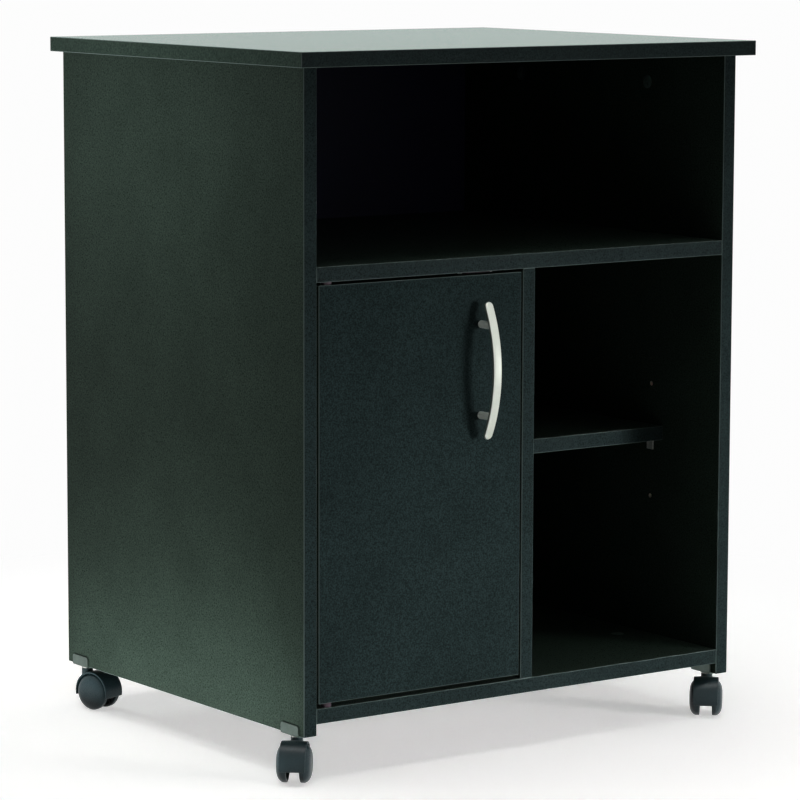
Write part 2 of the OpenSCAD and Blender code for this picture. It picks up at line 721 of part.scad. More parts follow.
// Wood screw with a countersunk head, flush with what it holds
module flat_screw() difference() {
    union() {
        wood_shank();
        cylinder(r1 = wood_head_r, r2 = wood_screw_r, h = wood_head_h);
    }
    screw_cross(wood_head_r, wood_head_h / 2);
}

module catch_screws() color(steel_colour) in_stand() for (s = [-1, 1])
    translate([catch_x + s * catch_screw_x, catch_y + catch_depth / 2, middle_z - catch_ear_t])
        pan_screw();

module strike_plate() color(steel_colour) in_stand()
    translate([catch_x, board_t + strike_t, poles_z]) rotate([90, 0, 0]) difference() {
        linear_extrude(strike_t) polygon(round_rect(pole_len + 2 * strike_margin,
            poles_h + 2 * strike_margin, strike_corner_r));
        cylinder(r1 = wood_head_r + seat, r2 = wood_screw_r + seat, h = wood_head_h);
        translate([0, 0, -over]) cylinder(r = wood_head_r + seat, h = over);
    }

module strike_screw() color(steel_colour) in_stand()
    translate([catch_x, board_t + strike_t, poles_z]) rotate([90, 0, 0]) flat_screw();

// Clip: a channel bent up round the side panel's lower edge, its corners rounded
module caster_clip() difference() {
    inner = board_t / 2 + clip_play;
    outer = inner + clip_t;
    intersection() {
        translate([0, clip_len / 2, clip_z]) rotate([90, 0, 0]) linear_extrude(clip_len) difference() {
            union() {
                translate([-outer, clip_bend_r]) square([2 * outer, clip_flange_h + clip_t - clip_bend_r]);
                translate([-outer + clip_bend_r, 0]) square([2 * (outer - clip_bend_r), clip_bend_r]);
                for (s = [-1, 1]) translate([s * (outer - clip_bend_r), clip_bend_r]) circle(clip_bend_r);
            }
            translate([-inner, clip_t]) square([2 * inner, clip_flange_h + over]);
        }
        rotate([90, 0, 90]) translate([0, clip_z, -outer - over]) linear_extrude(2 * outer + 2 * over)
            translate([0, (clip_flange_h + clip_t - clip_corner_r) / 2])
                polygon(round_rect(clip_len, clip_flange_h + clip_t + clip_corner_r, clip_corner_r));
    }
    translate([0, 0, clip_z - over]) cylinder(r = socket_r + seat, h = clip_t + 2 * over);
}

module caster_clips() color(steel_colour) in_stand() for (corner = CORNERS)
    translate([corner[0], corner[1], 0]) caster_clip();

// Socket: a tube pressed up into the panel through the clip, its flange under the clip
module caster_socket() difference() {
    union() {
        translate([0, 0, clip_z - socket_flange_t]) cylinder(r = socket_flange_r, h = socket_flange_t);
        translate([0, 0, clip_z - seat]) cylinder(r = socket_r, h = clip_t + socket_bore_depth - bore_end);
    }
    translate([0, 0, clip_z - socket_flange_t - over])
        cylinder(r = socket_r - socket_wall, h = clip_t + socket_bore_depth + over);
}

module caster_sockets() color(steel_colour) in_stand() for (corner = CORNERS)
    translate([corner[0], corner[1], 0]) caster_socket();

// Stem: a journal that the caster turns on, a collar and a shank with a grip ring
module caster_stem() {
    translate([0, 0, stem_foot + bore_end])
        cylinder(r = stem_r, h = side_z + stem_len - stem_foot - bore_end);
    translate([0, 0, collar_z]) cylinder(r = collar_r, h = clip_z - socket_flange_t - seat - collar_z);
    translate([0, 0, grip_ring_z]) cylinder(r = socket_r - socket_wall - seat, h = grip_ring_h);
    translate([0, 0, side_z + stem_len]) cylinder(r1 = stem_r, r2 = stem_r - stem_nose, h = stem_nose);
}

module caster_stems() color(nickel_colour) in_stand() for (corner = CORNERS)
    translate([corner[0], corner[1], 0]) caster_stem();

// Sets a caster, drawn with its swivel axis upright and its axle behind, into its corner
module at_corner(i) in_stand() translate([CORNERS[i][0], CORNERS[i][1], 0])
    rotate([0, 0, CORNERS[i][2] - 90]) children();

// Outer radius of a hood, which is highest along its middle, at a distance from the middle
function hood_skin(v) = hood_out_r - hood_crown * pow(2 * v / hood_w, 2);

// Section of a hood: straight inside, crowned outside, round at the two outer edges
function hood_profile() = let (w = hood_w / 2, e = hood_edge, side = hood_skin(w - e) - e) concat(
    [[hood_in_r, -w]],
    [for (a = [0 : 30 : 90]) [side + e * sin(a), -w + e - e * cos(a)]],
    [for (k = [-0.6 : 0.3 : 0.6]) [hood_skin(k * w), k * w]],
    [for (a = [90 : -30 : 0]) [side + e * sin(a), w - e + e * cos(a)]],
    [[hood_in_r, w]]);

// Hood: an arch over the wheels, a web between them and a boss for the stem
module caster_hood(i) color(caster_colour) at_corner(i) difference() {
    union() {
        translate([0, trail, axle_z]) rotate([0, 90, 0]) rotate([0, 0, 90 - hood_end_angle])
            rotate_extrude(angle = 180 + 2 * hood_end_angle, $fn = 72) polygon(hood_profile());
        translate([-web_t / 2, trail, axle_z]) rotate([90, 0, 90]) linear_extrude(web_t) {
            circle(d = web_d);
            intersection() {
                circle(r = hood_in_r + hood_t / 2, $fn = 72);
                translate([-hood_out_r, -hood_drop]) square([2 * hood_out_r, hood_out_r + hood_drop]);
            }
        }
        translate([0, 0, axle_z]) cylinder(d = boss_d, h = boss_top - axle_z);
    }
    translate([0, 0, stem_foot]) cylinder(r = stem_r + swivel_clearance, h = stem_in_boss + over);
    translate([0, trail, axle_z]) bar_x(axle_r + seat / 2, -web_t, web_t);
}

module caster_axle(i) color(nickel_colour) at_corner(i) translate([0, trail, axle_z])
    bar_x(axle_r, -axle_end, axle_end);

// Distance of a wheel's domed face from the caster's middle, at a radius and under a wall
function dome(r, wall = 0) = dome_foot + (wheel_out - dome_foot - wall)
    * sqrt(1 - pow(r / (dome_full_r - wall), 4));

// Section of a wheel: domed face, tread, hollow inside and hub with a blind bore
function wheel_section() = let (inner_r = wheel_r - wheel_wall) concat(
    [for (a = [0 : 10 : 80]) [wheel_r * sin(a), dome(wheel_r * sin(a))]],
    [[wheel_r, tread_out], [wheel_r, wheel_in + rim_ease], [wheel_r - rim_ease, wheel_in],
    [inner_r, wheel_in]],
    [for (a = [70 : -10 : 20]) [inner_r * sin(a), dome(inner_r * sin(a), wheel_wall)]],
    [[hub_r, dome(hub_r, wheel_wall)], [hub_r, hub_end], [axle_r + swivel_clearance, hub_end],
    [axle_r + swivel_clearance, axle_bore_end], [0, axle_bore_end]]);

// Wheel on the side s of its caster: a hollow turned body with ribs inside
module wheel(i, s) color(caster_colour) at_corner(i) translate([0, trail, axle_z])
    mirror([s > 0 ? 0 : 1, 0, 0]) rotate([90, 0, 90]) {
        rotate_extrude($fn = 72) polygon(wheel_section());
        for (k = [1 : wheel_ribs]) rotate([0, 0, 360 / wheel_ribs * k])
            block([hub_r - fuse, -rib_t / 2, rib_in], [wheel_r - wheel_wall + fuse, rib_t / 2, rib_out]);
    }

top_panel();
side_panel(-1);  // side_panel_left
side_panel(1);  // side_panel_right
middle_shelf();
bottom_shelf();
divider();
back_panel();
adjustable_shelf();
shelf_pins();
cam_locks();
cam_bolts();
wood_dowels();
back_nails();
hinge_bush_top();
hinge_bush_bottom();
catch_housing();
catch_poles();
catch_magnet();
catch_screws();
caster_clips();
caster_sockets();
caster_stems();
door();
hinge_pin_top();
hinge_pin_bottom();
handle_bar();
handle_posts();
handle_screws();
strike_plate();
strike_screw();
caster_hood(0);  // caster_hood_fl
caster_axle(0);  // caster_axle_fl
wheel(0, -1);  // wheel_left_fl
wheel(0, 1);  // wheel_right_fl
caster_hood(1);  // caster_hood_fr
caster_axle(1);  // caster_axle_fr
wheel(1, -1);  // wheel_left_fr
wheel(1, 1);  // wheel_right_fr
caster_hood(2);  // caster_hood_rl
caster_axle(2);  // caster_axle_rl
wheel(2, -1);  // wheel_left_rl
wheel(2, 1);  // wheel_right_rl
caster_hood(3);  // caster_hood_rr
caster_axle(3);  // caster_axle_rr
wheel(3, -1);  // wheel_left_rr
wheel(3, 1);  // wheel_right_rr
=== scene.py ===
"""Printer stand: the finishes of its boards and fittings, its handle and casters, and a plain studio.

The packed model is a fixed frame. Boards and small fittings keep their meshes and get their finishes
here. The bow handle, the casters and their clips are drawn again as smooth surfaces in the same places.
All lengths are in metres.
"""

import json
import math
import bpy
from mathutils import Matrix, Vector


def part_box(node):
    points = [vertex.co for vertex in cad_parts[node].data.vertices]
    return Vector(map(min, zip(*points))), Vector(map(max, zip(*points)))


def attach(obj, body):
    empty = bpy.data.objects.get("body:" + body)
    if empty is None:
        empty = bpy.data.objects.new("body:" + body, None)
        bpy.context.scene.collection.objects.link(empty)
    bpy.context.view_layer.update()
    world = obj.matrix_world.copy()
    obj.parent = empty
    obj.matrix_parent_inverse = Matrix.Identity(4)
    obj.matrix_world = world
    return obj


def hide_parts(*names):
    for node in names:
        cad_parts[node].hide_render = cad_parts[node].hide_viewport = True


bl_info = {
    "name": "Printer stand",
    "version": (1, 0, 0),
    "blender": (4, 5, 0),
    "location": "3D View > Sidebar > Printer stand",
    "description": "Finishes a board printer stand on casters and sets it in a plain studio",
    "category": "Object",
}

import bmesh
import bpy
import numpy as np
from bpy.props import FloatProperty, FloatVectorProperty, IntProperty, PointerProperty
from mathutils import Matrix, Vector

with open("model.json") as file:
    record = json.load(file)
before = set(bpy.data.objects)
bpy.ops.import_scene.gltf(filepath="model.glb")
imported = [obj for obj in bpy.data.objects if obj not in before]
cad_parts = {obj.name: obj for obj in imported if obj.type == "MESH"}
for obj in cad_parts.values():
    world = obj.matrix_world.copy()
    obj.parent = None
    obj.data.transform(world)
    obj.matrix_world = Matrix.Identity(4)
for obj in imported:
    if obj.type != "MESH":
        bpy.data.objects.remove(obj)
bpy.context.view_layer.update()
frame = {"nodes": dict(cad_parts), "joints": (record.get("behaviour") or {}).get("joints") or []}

MM = 0.001
CORNERS = ("fl", "fr", "rl", "rr")
X_AXIS, Y_AXIS, Z_AXIS = np.eye(3)

# Points nearer than this at a seam or a pole are one point
SEAM = 0.001 * MM
# A joint between faces that turns by more than this is a hard edge
HARD_EDGE = math.radians(35)

# Play between pieces that touch or turn on each other
POST_PLAY = 0.03 * MM
STEM_PLAY = 0.06 * MM
AXLE_PLAY = 0.03 * MM
WHEEL_PLAY = 0.06 * MM
HUB_PLAY = 0.25 * MM
CLIP_PLAY = 0.1 * MM


# Places and sizes that the frame gives


def corners(node):
    """Lowest and highest corner of a node."""
    low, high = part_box(node)
    return np.array(low), np.array(high)


def span(node, origin, way):
    """How far a node reaches from an origin, against a way and along it."""
    vertices = frame["nodes"][node].data.vertices
    points = np.empty(len(vertices) * 3, np.float32)
    vertices.foreach_get("co", points)
    reach = (points.reshape(-1, 3) - origin) @ way
    return float(reach.min()), float(reach.max())


def joint(name):
    """Place and axis of a joint."""
    found = next(j for j in frame["joints"] if j["name"] == name)
    return np.array(found["pos_m"], float), np.array(found["axis"], float)


def caster_place(key):
    """Middle of a caster's axle, the ways along the axle, back and up, and its trail."""
    hub, axle = joint("roll_right_" + key)
    behind = (hub - joint("swivel_" + key)[0]) * (1, 1, 0)
    trail = float(np.linalg.norm(behind))
    return hub, np.array([axle, behind / trail, Z_AXIS]), trail


HUB, (AXLE, BEHIND, _), TRAIL = caster_place("fl")
WHEEL_RADIUS = float(HUB[2])
WHEEL_INNER, WHEEL_OUTER = span("wheel_right_fl", HUB, AXLE)
# Width of a wheel's rim from its open end to its tread
WHEEL_LIP = 1 * MM
HOOD_HALF = span("caster_hood_fl", HUB, AXLE)[1]
HOOD_RADIUS = span("caster_hood_fl", HUB, BEHIND)[1]
BAR_LOW, BAR_HIGH = corners("handle_bar")
POST_LOW, POST_HIGH = corners("handle_posts")


# Sizes and colours that a user can change


def linear(written):
    """Linear red, green, blue and alpha of an sRGB colour written as #RRGGBB."""
    channels = [int(written[i:i + 2], 16) / 255 for i in (1, 3, 5)]
    return [c / 12.92 if c <= 0.04045 else ((c + 0.055) / 1.055) ** 2.4 for c in channels] + [1.0]


def length(name, value, text):
    """A length that a user can change, with its default in metres."""
    return FloatProperty(name=name, description=text, default=value, min=0.0, unit="LENGTH",
                         precision=5)


def colour(name, value, text):
    """A colour that a user can change, with its default written in sRGB."""
    return FloatVectorProperty(name=name, description=text, default=linear(value), size=4,
                               min=0.0, max=1.0, subtype="COLOR")


def power(name, value, text):
    """A light's power that a user can change, with its default in watts."""
    return FloatProperty(name=name, description=text, default=value, min=0.0, subtype="POWER")


def strength(name, value, text):
    """A strength that a user can change. A strength of one shows white."""
    return FloatProperty(name=name, description=text, default=value, min=0.0)


class BoardSettings(bpy.types.PropertyGroup):
    """Finishes of the boards and the back"""

    face: colour("Face", "#222C26", "Melamine paper on the boards")
    # Front is the face colour tinted bluer: painted tint of the light that falls on the faces square to
    # Y
    front: colour("Front", "#1C2525", "Melamine paper on the door and plastic band on the front edges")
    haze: colour("Haze", "#9BFFDF", "Tint of the haze that the top shows at a low angle")
    chip: colour("Chips", "#DDD3C0", "Wood chips of the bare particle board")
    binder: colour("Binder", "#B4A792", "Resin and dust between the chips")
    # The arris colour and the width below draw a painted highlight: a lighter line along each arris, for
    # the light that an eased edge catches
    arris: colour("Arris", "#4E5957", "Plastic band where it was trimmed flush with the faces")
    arris_highlight_width: length("Trim", 0.6 * MM, "Width of the trimmed plastic along an arris")
    paper: length("Paper", 0.35 * MM, "Depth below a face at which the bare particle board starts")
    pearl: length("Pearl", 1.6 * MM, "Size of the texture pressed into the melamine")
    chip_length: length("Chip length", 1.6 * MM, "Length of a wood chip")
    back_print: colour("Back print", "#04061C", "Print on the inner face of the hardboard back")
    hardboard: colour("Hardboard", "#6B4A32", "Bare hardboard at the rear of the back")
    beech: colour("Beech", "#C59A6A", "Bare beech of the dowels")


class HandleSettings(bpy.types.PropertyGroup):
    """Shape and finishes of the bow handle"""

    bar_length: length("Bar length", 145 * MM, "Length of the bar along its chord")
    bar_thickness: length("Bar thickness", 5 * MM, "Thickness of the bar")
    bow_radius: length("Bow radius", 155 * MM, "Radius of the bow, to the middle of the bar")
    edge_radius: length("Edge radius", 1.8 * MM, "Radius of the bar's long edges")
    post_ease: length("Post ease", 0.4 * MM, "Radius of the edge at the foot of a post")
    nickel: colour("Satin nickel", "#D0D5CB", "Satin nickel plating of the bar")
    dull_nickel: colour("Dull nickel", "#C6CEC6", "Dull nickel plating of the posts")
    brush: length("Brush marks", 0.4 * MM, "Distance from one brush mark to the next")


class CasterSettings(bpy.types.PropertyGroup):
    """Shape and finish of the hooded casters"""

    hood_radius: length("Hood radius", HOOD_RADIUS, "Outer radius of a hood along its middle")
    hood_thickness: length("Hood thickness", 2.2 * MM, "Thickness of a hood along its middle")
    hood_crown: length("Hood crown", 0.5 * MM, "How much lower the sides of a hood are than its middle")
    hood_edge: length("Hood edge", 0.6 * MM, "Radius of the edges of a hood")
    hood_drop: length("Hood drop", 4.6 * MM, "How far the ends of a hood reach below the axle")
    web_thickness: length("Web thickness", 13.4 * MM, "Thickness of the web between the wheels")
    web_radius: length("Web radius", 10 * MM, "Radius of the web round the axle")
    boss_radius: length("Boss radius", 6.4 * MM, "Radius of the boss that turns on the stem")
    stem_radius: length("Stem radius", 4 * MM, "Radius of the stem")
    axle_radius: length("Axle radius", 2 * MM, "Radius of the axle")
    wheel_wall: length("Wheel wall", 2.4 * MM, "Thickness of a wheel's wall")
    tread: length("Tread", 3.8 * MM, "Width of the flat tread of a wheel")
    ribs: IntProperty(name="Ribs", description="Number of ribs inside a wheel", default=6, min=0, max=12)
    nylon: colour("Black nylon", "#1B282B", "Nylon of the hoods and wheels")


class ClipSettings(bpy.types.PropertyGroup):
    """Shape and finish of the clips, and the plating of the small steel parts"""

    clip_length: length("Clip length", 32 * MM, "Length of a clip along the side panel")
    sheet: length("Sheet", 1.5 * MM, "Thickness of the steel sheet")
    bend: length("Bend", 0.3 * MM, "Inner radius of the bends")
    corner: length("Corner", 3 * MM, "Radius of the flanges' corners")
    hole: length("Hole", 10.1 * MM, "Diameter of the hole for the stem's socket")
    sheared: length("Sheared edge", 0.2 * MM, "Width of the worn edge that shearing and tumbling leave")
    dull_zinc: colour("Dull zinc", "#687670", "Dull zinc plating of clips, sockets and cam locks")
    bright_zinc: colour("Bright zinc", "#BFC1BD", "Bright zinc plating of pins, screws, axles and stems")


class FittingSettings(bpy.types.PropertyGroup):
    """Finishes of the hinge bushes and the catch"""

    brown_nylon: colour("Brown nylon", "#3C3038", "Nylon of the hinge bushes and the catch")
    ferrite: colour("Ferrite", "#2B2B2C", "Sintered ferrite of the catch's magnet")


class StudioSettings(bpy.types.PropertyGroup):
    """Camera, lights and floor"""

    place: FloatVectorProperty(name="Camera place", description="Where the camera stands",
                               default=(-2.35066, -3.27591, 0.89796), subtype="TRANSLATION",
                               unit="LENGTH")
    azimuth: FloatProperty(name="Azimuth", description="Turn of the view to the right of straight ahead",
                           default=math.radians(35.608), subtype="ANGLE")
    pitch: FloatProperty(name="Pitch", description="Tilt of the view below the horizon",
                         default=math.radians(7.721), subtype="ANGLE")
    roll: FloatProperty(name="Roll", description="Turn of the camera about its view",
                        default=math.radians(0.166), subtype="ANGLE")
    lens: FloatProperty(name="Lens", description="Focal length in millimetres on a sensor 36 mm wide",
                        default=165.23, min=10.0)
    white: strength("White", 0.98, "Strength of the background")
    ambient: strength("Ambient", 0.1, "Strength of the even light from all round")
    key_light: power("Key light", 4.4, "Wide level light at the front right, narrowed to the lower half")
    side_light: power("Side light", 1.5, "Small light beside the top of the left panel")
    back_light: power("Back light", 25.0, "Light low behind the stand, which gives the top its haze")
    top_light: power("Top light", 44.0, "Large light overhead")
    low_light: power("Low light", 1.3, "Tall light at the right, which gives the casters their glints")
    left_bounce: power("Left bounce", 2.4, "Light that a bright floor throws back at the left")
    floor: colour("Floor", "#EDEDEB", "Pale floor")
    glow: strength("Floor glow", 0.46, "Strength of the white that the floor shows besides its light")
    floor_side: length("Floor side", 16.0, "Side of the square floor")
    fade_start: length("Fade start", 0.4, "Distance at which the floor starts to fade to white")
    fade_end: length("Fade end", 1.1, "Distance at which the floor is as white as the background")


# Surfaces


def quads(rows, columns, ring, loop):
    """Corners of the quads between neighbouring rows and columns of a grid, which may be closed
    round its columns and round its rows."""
    i = np.arange(rows if loop else rows - 1)[:, None]
    j = np.arange(columns if ring else columns - 1)[None, :]
    i2, j2 = (i + 1) % rows, (j + 1) % columns
    return np.stack([i * columns + j, i * columns + j2, i2 * columns + j2, i2 * columns + j], axis=-1)


def smoothed(mesh):
    """Shades a mesh smooth, apart from its hard edges."""
    mesh.shade_smooth()
    mesh.set_sharp_from_angle(angle=HARD_EDGE)
    return mesh


def surface(name, *grids):
    """One closed mesh from grids of points, each given with whether its columns and its rows close.
    Poles and seams are merged, and all faces point outwards."""
    points, faces, start = [], [], 0
    for grid, ring, loop in grids:
        rows, columns = grid.shape[:2]
        faces.append(quads(rows, columns, ring, loop).reshape(-1, 4) + start)
        points.append(grid.reshape(-1, 3))
        start += rows * columns
    mesh = bpy.data.meshes.new(name)
    mesh.from_pydata(np.concatenate(points).tolist(), [], np.concatenate(faces).tolist())
    shape = bmesh.new()
    shape.from_mesh(mesh)
    bmesh.ops.remove_doubles(shape, verts=shape.verts, dist=SEAM)
    bmesh.ops.recalc_face_normals(shape, faces=shape.faces)
    shape.to_mesh(mesh)
    shape.free()
    return smoothed(mesh)


def worked(mesh, operation, *tools):
    """A closed mesh after closed tool meshes were joined to it or cut from it."""
    scene = bpy.context.scene
    held = [bpy.data.objects.new("work", part) for part in (mesh, *tools)]
    for thing in held:
        scene.collection.objects.link(thing)
    for tool in held[1:]:
        step = held[0].modifiers.new("step", "BOOLEAN")
        step.operation, step.solver, step.object = operation, "EXACT", tool
    finished = held[0].evaluated_get(bpy.context.evaluated_depsgraph_get())
    result = smoothed(bpy.data.meshes.new_from_object(finished))
    for thing in held:
        bpy.data.objects.remove(thing)
    return result


def copied(mesh, *places):
    """One mesh that holds a copy of another at each place, a place being an origin and the ways that
    its X, Y and Z turn to."""
    shape = bmesh.new()
    for origin, ways in places:
        copy = mesh.copy()
        copy.transform(Matrix.Translation(origin) @ Matrix(np.transpose(ways).tolist()).to_4x4())
        shape.from_mesh(copy)
    result = bpy.data.meshes.new(mesh.name)
    shape.to_mesh(result)
    shape.free()
    return smoothed(result)


def piece(name, mesh, finish, body, slot, *nodes):
    """A new piece in its finish, which rides on a body and stands for CAD nodes."""
    made = bpy.data.objects.new(name, mesh)
    mesh.name = name
    bpy.context.scene.collection.objects.link(made)
    mesh.materials.append(finish)
    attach(made, body)
    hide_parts(*nodes)
    return made


def dress(finish, *nodes):
    """Gives carried CAD nodes their finish."""
    for node in nodes:
        for slot in frame["nodes"][node].material_slots:
            slot.material = finish


def turned(profile, steps=96):
    """Body of revolution about Z: each profile point, a radius and a height, goes round a full turn."""
    angle = np.linspace(0, 2 * math.pi, steps, endpoint=False)
    radius, height = np.asarray(profile, float).T[:, :, None]
    return np.stack([radius * np.cos(angle), radius * np.sin(angle), height + 0 * angle], axis=-1)


def rod(radius, low, high, steps=64):
    """Closed cylinder about Z between two heights."""
    profile = [(0, low), (radius, low), (radius, high), (0, high)]
    return surface("rod", (turned(profile, steps), True, False))


def plate(outline, depth, half, edge, steps=7):
    """Flat solid whose thickness runs along Z. The outline is a function of how far it is drawn in:
    fully at the middle of either face, not at all round the rim, and along a quarter circle of the
    edge radius between them."""
    turn = np.linspace(0, math.pi / 2, steps)
    inset, rise = edge * (1 - np.sin(turn)), half - edge * (1 - np.cos(turn))
    inset = np.concatenate([[depth], inset, inset[::-1], [depth]])[:, None]
    height = np.concatenate([[-half], -rise, rise[::-1], [half]])[:, None]
    x, y = outline(inset)
    return np.stack([x, y, height + 0 * x], axis=-1)


def stadium(long, wide, steps=24):
    """Outline of a bar with round ends: points on its middle line, each moved out along its own way by
    half the width less the inset."""
    reach = (long - wide) / 2
    along = np.linspace(-reach, reach, 3 * steps)
    turn = np.linspace(math.pi / 2, -math.pi / 2, steps)[1:-1]
    middle = np.concatenate([along, np.full_like(turn, reach), along[::-1], np.full_like(turn, -reach)])
    way_x = np.concatenate([0 * along, np.cos(turn), 0 * along, -np.cos(turn)])
    way_y = np.concatenate([1 + 0 * along, np.sin(turn), -1 - 0 * along, -np.sin(turn)])
    return lambda inset: (middle + (wide / 2 - inset) * way_x, (wide / 2 - inset) * way_y)


# Finishes

# A Mix node set to colours reads its inputs 0, 6 and 7 and gives its output 2
OVER = {"data_type": "RGBA"}
TIMES = {"data_type": "RGBA", "blend_type": "MULTIPLY"}


def connect(tree, node, inputs):
    """Gives a node its inputs: a socket is linked, and anything else is set."""
    for key, value in inputs.items():
        if isinstance(value, bpy.types.NodeSocket):
            tree.links.new(value, node.inputs[key])
        else:
            node.inputs[key].default_value = value


def add(tree, kind, inputs=None, **settings):
    """Adds a shader node with its settings and its inputs."""
    node = tree.nodes.new("ShaderNode" + kind)
    for key, value in settings.items():
        setattr(node, key, value)
    connect(tree, node, inputs or {})
    return node


def bare_material(name):
    """A new material: itself, its tree, its shader and its texture coordinates."""
    material = bpy.data.materials.new(name)
    material.use_nodes = True
    tree = material.node_tree
    tree.nodes.clear()
    shader = add(tree, "BsdfPrincipled")
    add(tree, "OutputMaterial", {"Surface": shader.outputs["BSDF"]})
    return material, tree, shader, add(tree, "TexCoord")


def mottle(tree, place, grain, low, high, detail=2.0, stretch=(1, 1, 1)):
    """Values between low and high in soft blotches of about one grain, which may be stretched."""
    scale = [1 / (s * grain) for s in stretch]
    laid = add(tree, "Mapping", {"Vector": place.outputs["Object"], "Scale": scale})
    spots = add(tree, "TexNoise", {"Vector": laid.outputs["Vector"], "Scale": 1.0, "Detail": detail})
    # Noise seldom leaves the range from 0.3 to 0.7
    return add(tree, "MapRange", {"Value": spots.outputs["Fac"], "From Min": 0.3, "From Max": 0.7,
                                  "To Min": low, "To Max": high}).outputs["Result"]


def black_melamine(settings, node, bare_rear, level, haze, roughness):
    """Particle board faced with melamine paper, which was pressed against a finely pearled steel
    plate, and edged with a plastic band. It is a satin black with a fine soft mottle, and where it
    has haze it turns pale at a low angle. The faces square to Y, the door and the front edges, take a
    bluer copy of the black, which is a painted tint of the light that falls on the front. A lighter
    line along each arris is a painted highlight. Bores and rear edges, where the paper is cut away,
    show the bare pale board."""
    material, tree, shader, place = bare_material("black_melamine_" + node)
    low, high = corners(node)
    middle, half = (low + high) / 2, (high - low) / 2

    centred = add(tree, "VectorMath", {0: place.outputs["Object"], 1: middle}, operation="SUBTRACT")
    folded = add(tree, "VectorMath", {0: centred.outputs[0]}, operation="ABSOLUTE")
    beyond = add(tree, "VectorMath", {0: folded.outputs[0], 1: half}, operation="SUBTRACT")
    x, y, z = add(tree, "SeparateXYZ", {0: beyond.outputs[0]}).outputs
    nearer = add(tree, "Math", {0: x, 1: y}, operation="MAXIMUM")
    nearest = add(tree, "Math", {0: nearer.outputs[0], 1: z}, operation="MAXIMUM")
    # The second nearest pair of faces is less than the highlight's width away along the arrises, which
    # get a painted highlight
    farther = add(tree, "Math", {0: x, 1: y}, operation="MINIMUM")
    second = add(tree, "Math", {0: nearer.outputs[0], 1: z}, operation="MINIMUM")
    second = add(tree, "Math", {0: farther.outputs[0], 1: second.outputs[0]}, operation="MAXIMUM")
    trimmed = add(tree, "Math", {0: second.outputs[0], 1: -settings.arris_highlight_width}, operation="GREATER_THAN")
    # What lies deeper than the paper is the wall of a bore
    cut = add(tree, "Math", {0: nearest.outputs[0], 1: -settings.paper}, operation="LESS_THAN")
    cut = cut.outputs[0]
    if bare_rear:
        depth = add(tree, "SeparateXYZ", {0: centred.outputs[0]}).outputs[1]
        rear = add(tree, "Math", {0: depth, 1: half[1] - 0.1 * MM}, operation="GREATER_THAN")
        cut = add(tree, "Math", {0: cut, 1: rear.outputs[0]}, operation="MAXIMUM").outputs[0]

    # The door and the front edges are the faces square to Y. They take the front colour, a bluer copy
    # of the face colour that paints in the tint of the light from the front
    facing = add(tree, "SeparateXYZ", {0: place.outputs["Normal"]}).outputs[1]
    square = add(tree, "Math", {0: facing}, operation="ABSOLUTE")
    band = add(tree, "Math", {0: square.outputs[0], 1: 0.9}, operation="GREATER_THAN").outputs[0]

    # The pearls of the press plate are about 0.4 mm wide; they are drawn four times as wide to show
    pearls = mottle(tree, place, settings.pearl, 0.0, 1.0, 3.0)
    cloud = mottle(tree, place, 40 * settings.pearl, 0.9, 1.1, 3.0)
    speck = mottle(tree, place, settings.pearl, 0.5, 1.5, 2.0)
    # Painted light: the faces square to Y get the bluer front colour
    skin = add(tree, "Mix", {0: band, 6: settings.face, 7: settings.front}, **OVER).outputs[2]
    skin = add(tree, "Mix", {0: 1.0, 6: skin, 7: cloud}, **TIMES).outputs[2]
    skin = add(tree, "Mix", {0: 1.0, 6: skin, 7: speck}, **TIMES).outputs[2]
    # Painted highlight: a lighter line along each arris
    skin = add(tree, "Mix", {0: trimmed.outputs[0], 6: skin, 7: settings.arris}, **OVER).outputs[2]

    chips = add(tree, "TexVoronoi", {"Vector": place.outputs["Object"],
                                     "Scale": 1 / settings.chip_length})
    dust = mottle(tree, place, settings.chip_length / 3, 0.0, 1.0, 4.0)
    core = add(tree, "Mix", {0: dust, 6: settings.binder, 7: settings.chip}, **OVER).outputs[2]
    core = add(tree, "Mix", {0: 0.35, 6: core, 7: chips.outputs["Color"]}, **TIMES).outputs[2]

    satin = mottle(tree, place, settings.pearl, roughness - 0.04, roughness + 0.04, 2.0)
    connect(tree, shader, {
        "Base Color": add(tree, "Mix", {0: cut, 6: skin, 7: core}, **OVER).outputs[2],
        "Roughness": add(tree, "Math", {0: satin, 1: cut}, operation="MAXIMUM").outputs[0],
        "IOR": 1.5, "Specular IOR Level": level,
        "Sheen Weight": haze, "Sheen Roughness": 0.3, "Sheen Tint": settings.haze,
        "Normal": add(tree, "Bump", {"Height": pearls, "Distance": 0.05 * MM}).outputs["Normal"]})
    return material


def printed_hardboard(settings):
    """Hardboard, pressed hot from wood fibre, with a matt blue-black print on its inner face. The
    rear and the edges are bare: a leathery brown with long soft fibres."""
    material, tree, shader, place = bare_material("printed_hardboard")
    inner = corners("back_panel")[0][1]
    depth = add(tree, "SeparateXYZ", {0: place.outputs["Object"]}).outputs[1]
    bare = add(tree, "Math", {0: depth, 1: inner + 0.2 * MM}, operation="GREATER_THAN").outputs[0]
    fibres = mottle(tree, place, 0.8 * MM, 0.7, 1.3, 5.0, (1, 1, 4))
    cloud = mottle(tree, place, 45 * MM, 0.88, 1.12, 3.0)
    base = add(tree, "Mix", {0: bare, 6: settings.back_print, 7: settings.hardboard}, **OVER).outputs[2]
    base = add(tree, "Mix", {0: 1.0, 6: base, 7: cloud}, **TIMES).outputs[2]
    connect(tree, shader, {
        "Base Color": add(tree, "Mix", {0: 1.0, 6: base, 7: fibres}, **TIMES).outputs[2],
        "Roughness": mottle(tree, place, 2 * MM, 0.5, 0.65), "IOR": 1.5, "Specular IOR Level": 0.2,
        "Normal": add(tree, "Bump", {"Height": fibres, "Distance": 0.03 * MM}).outputs["Normal"]})
    return material


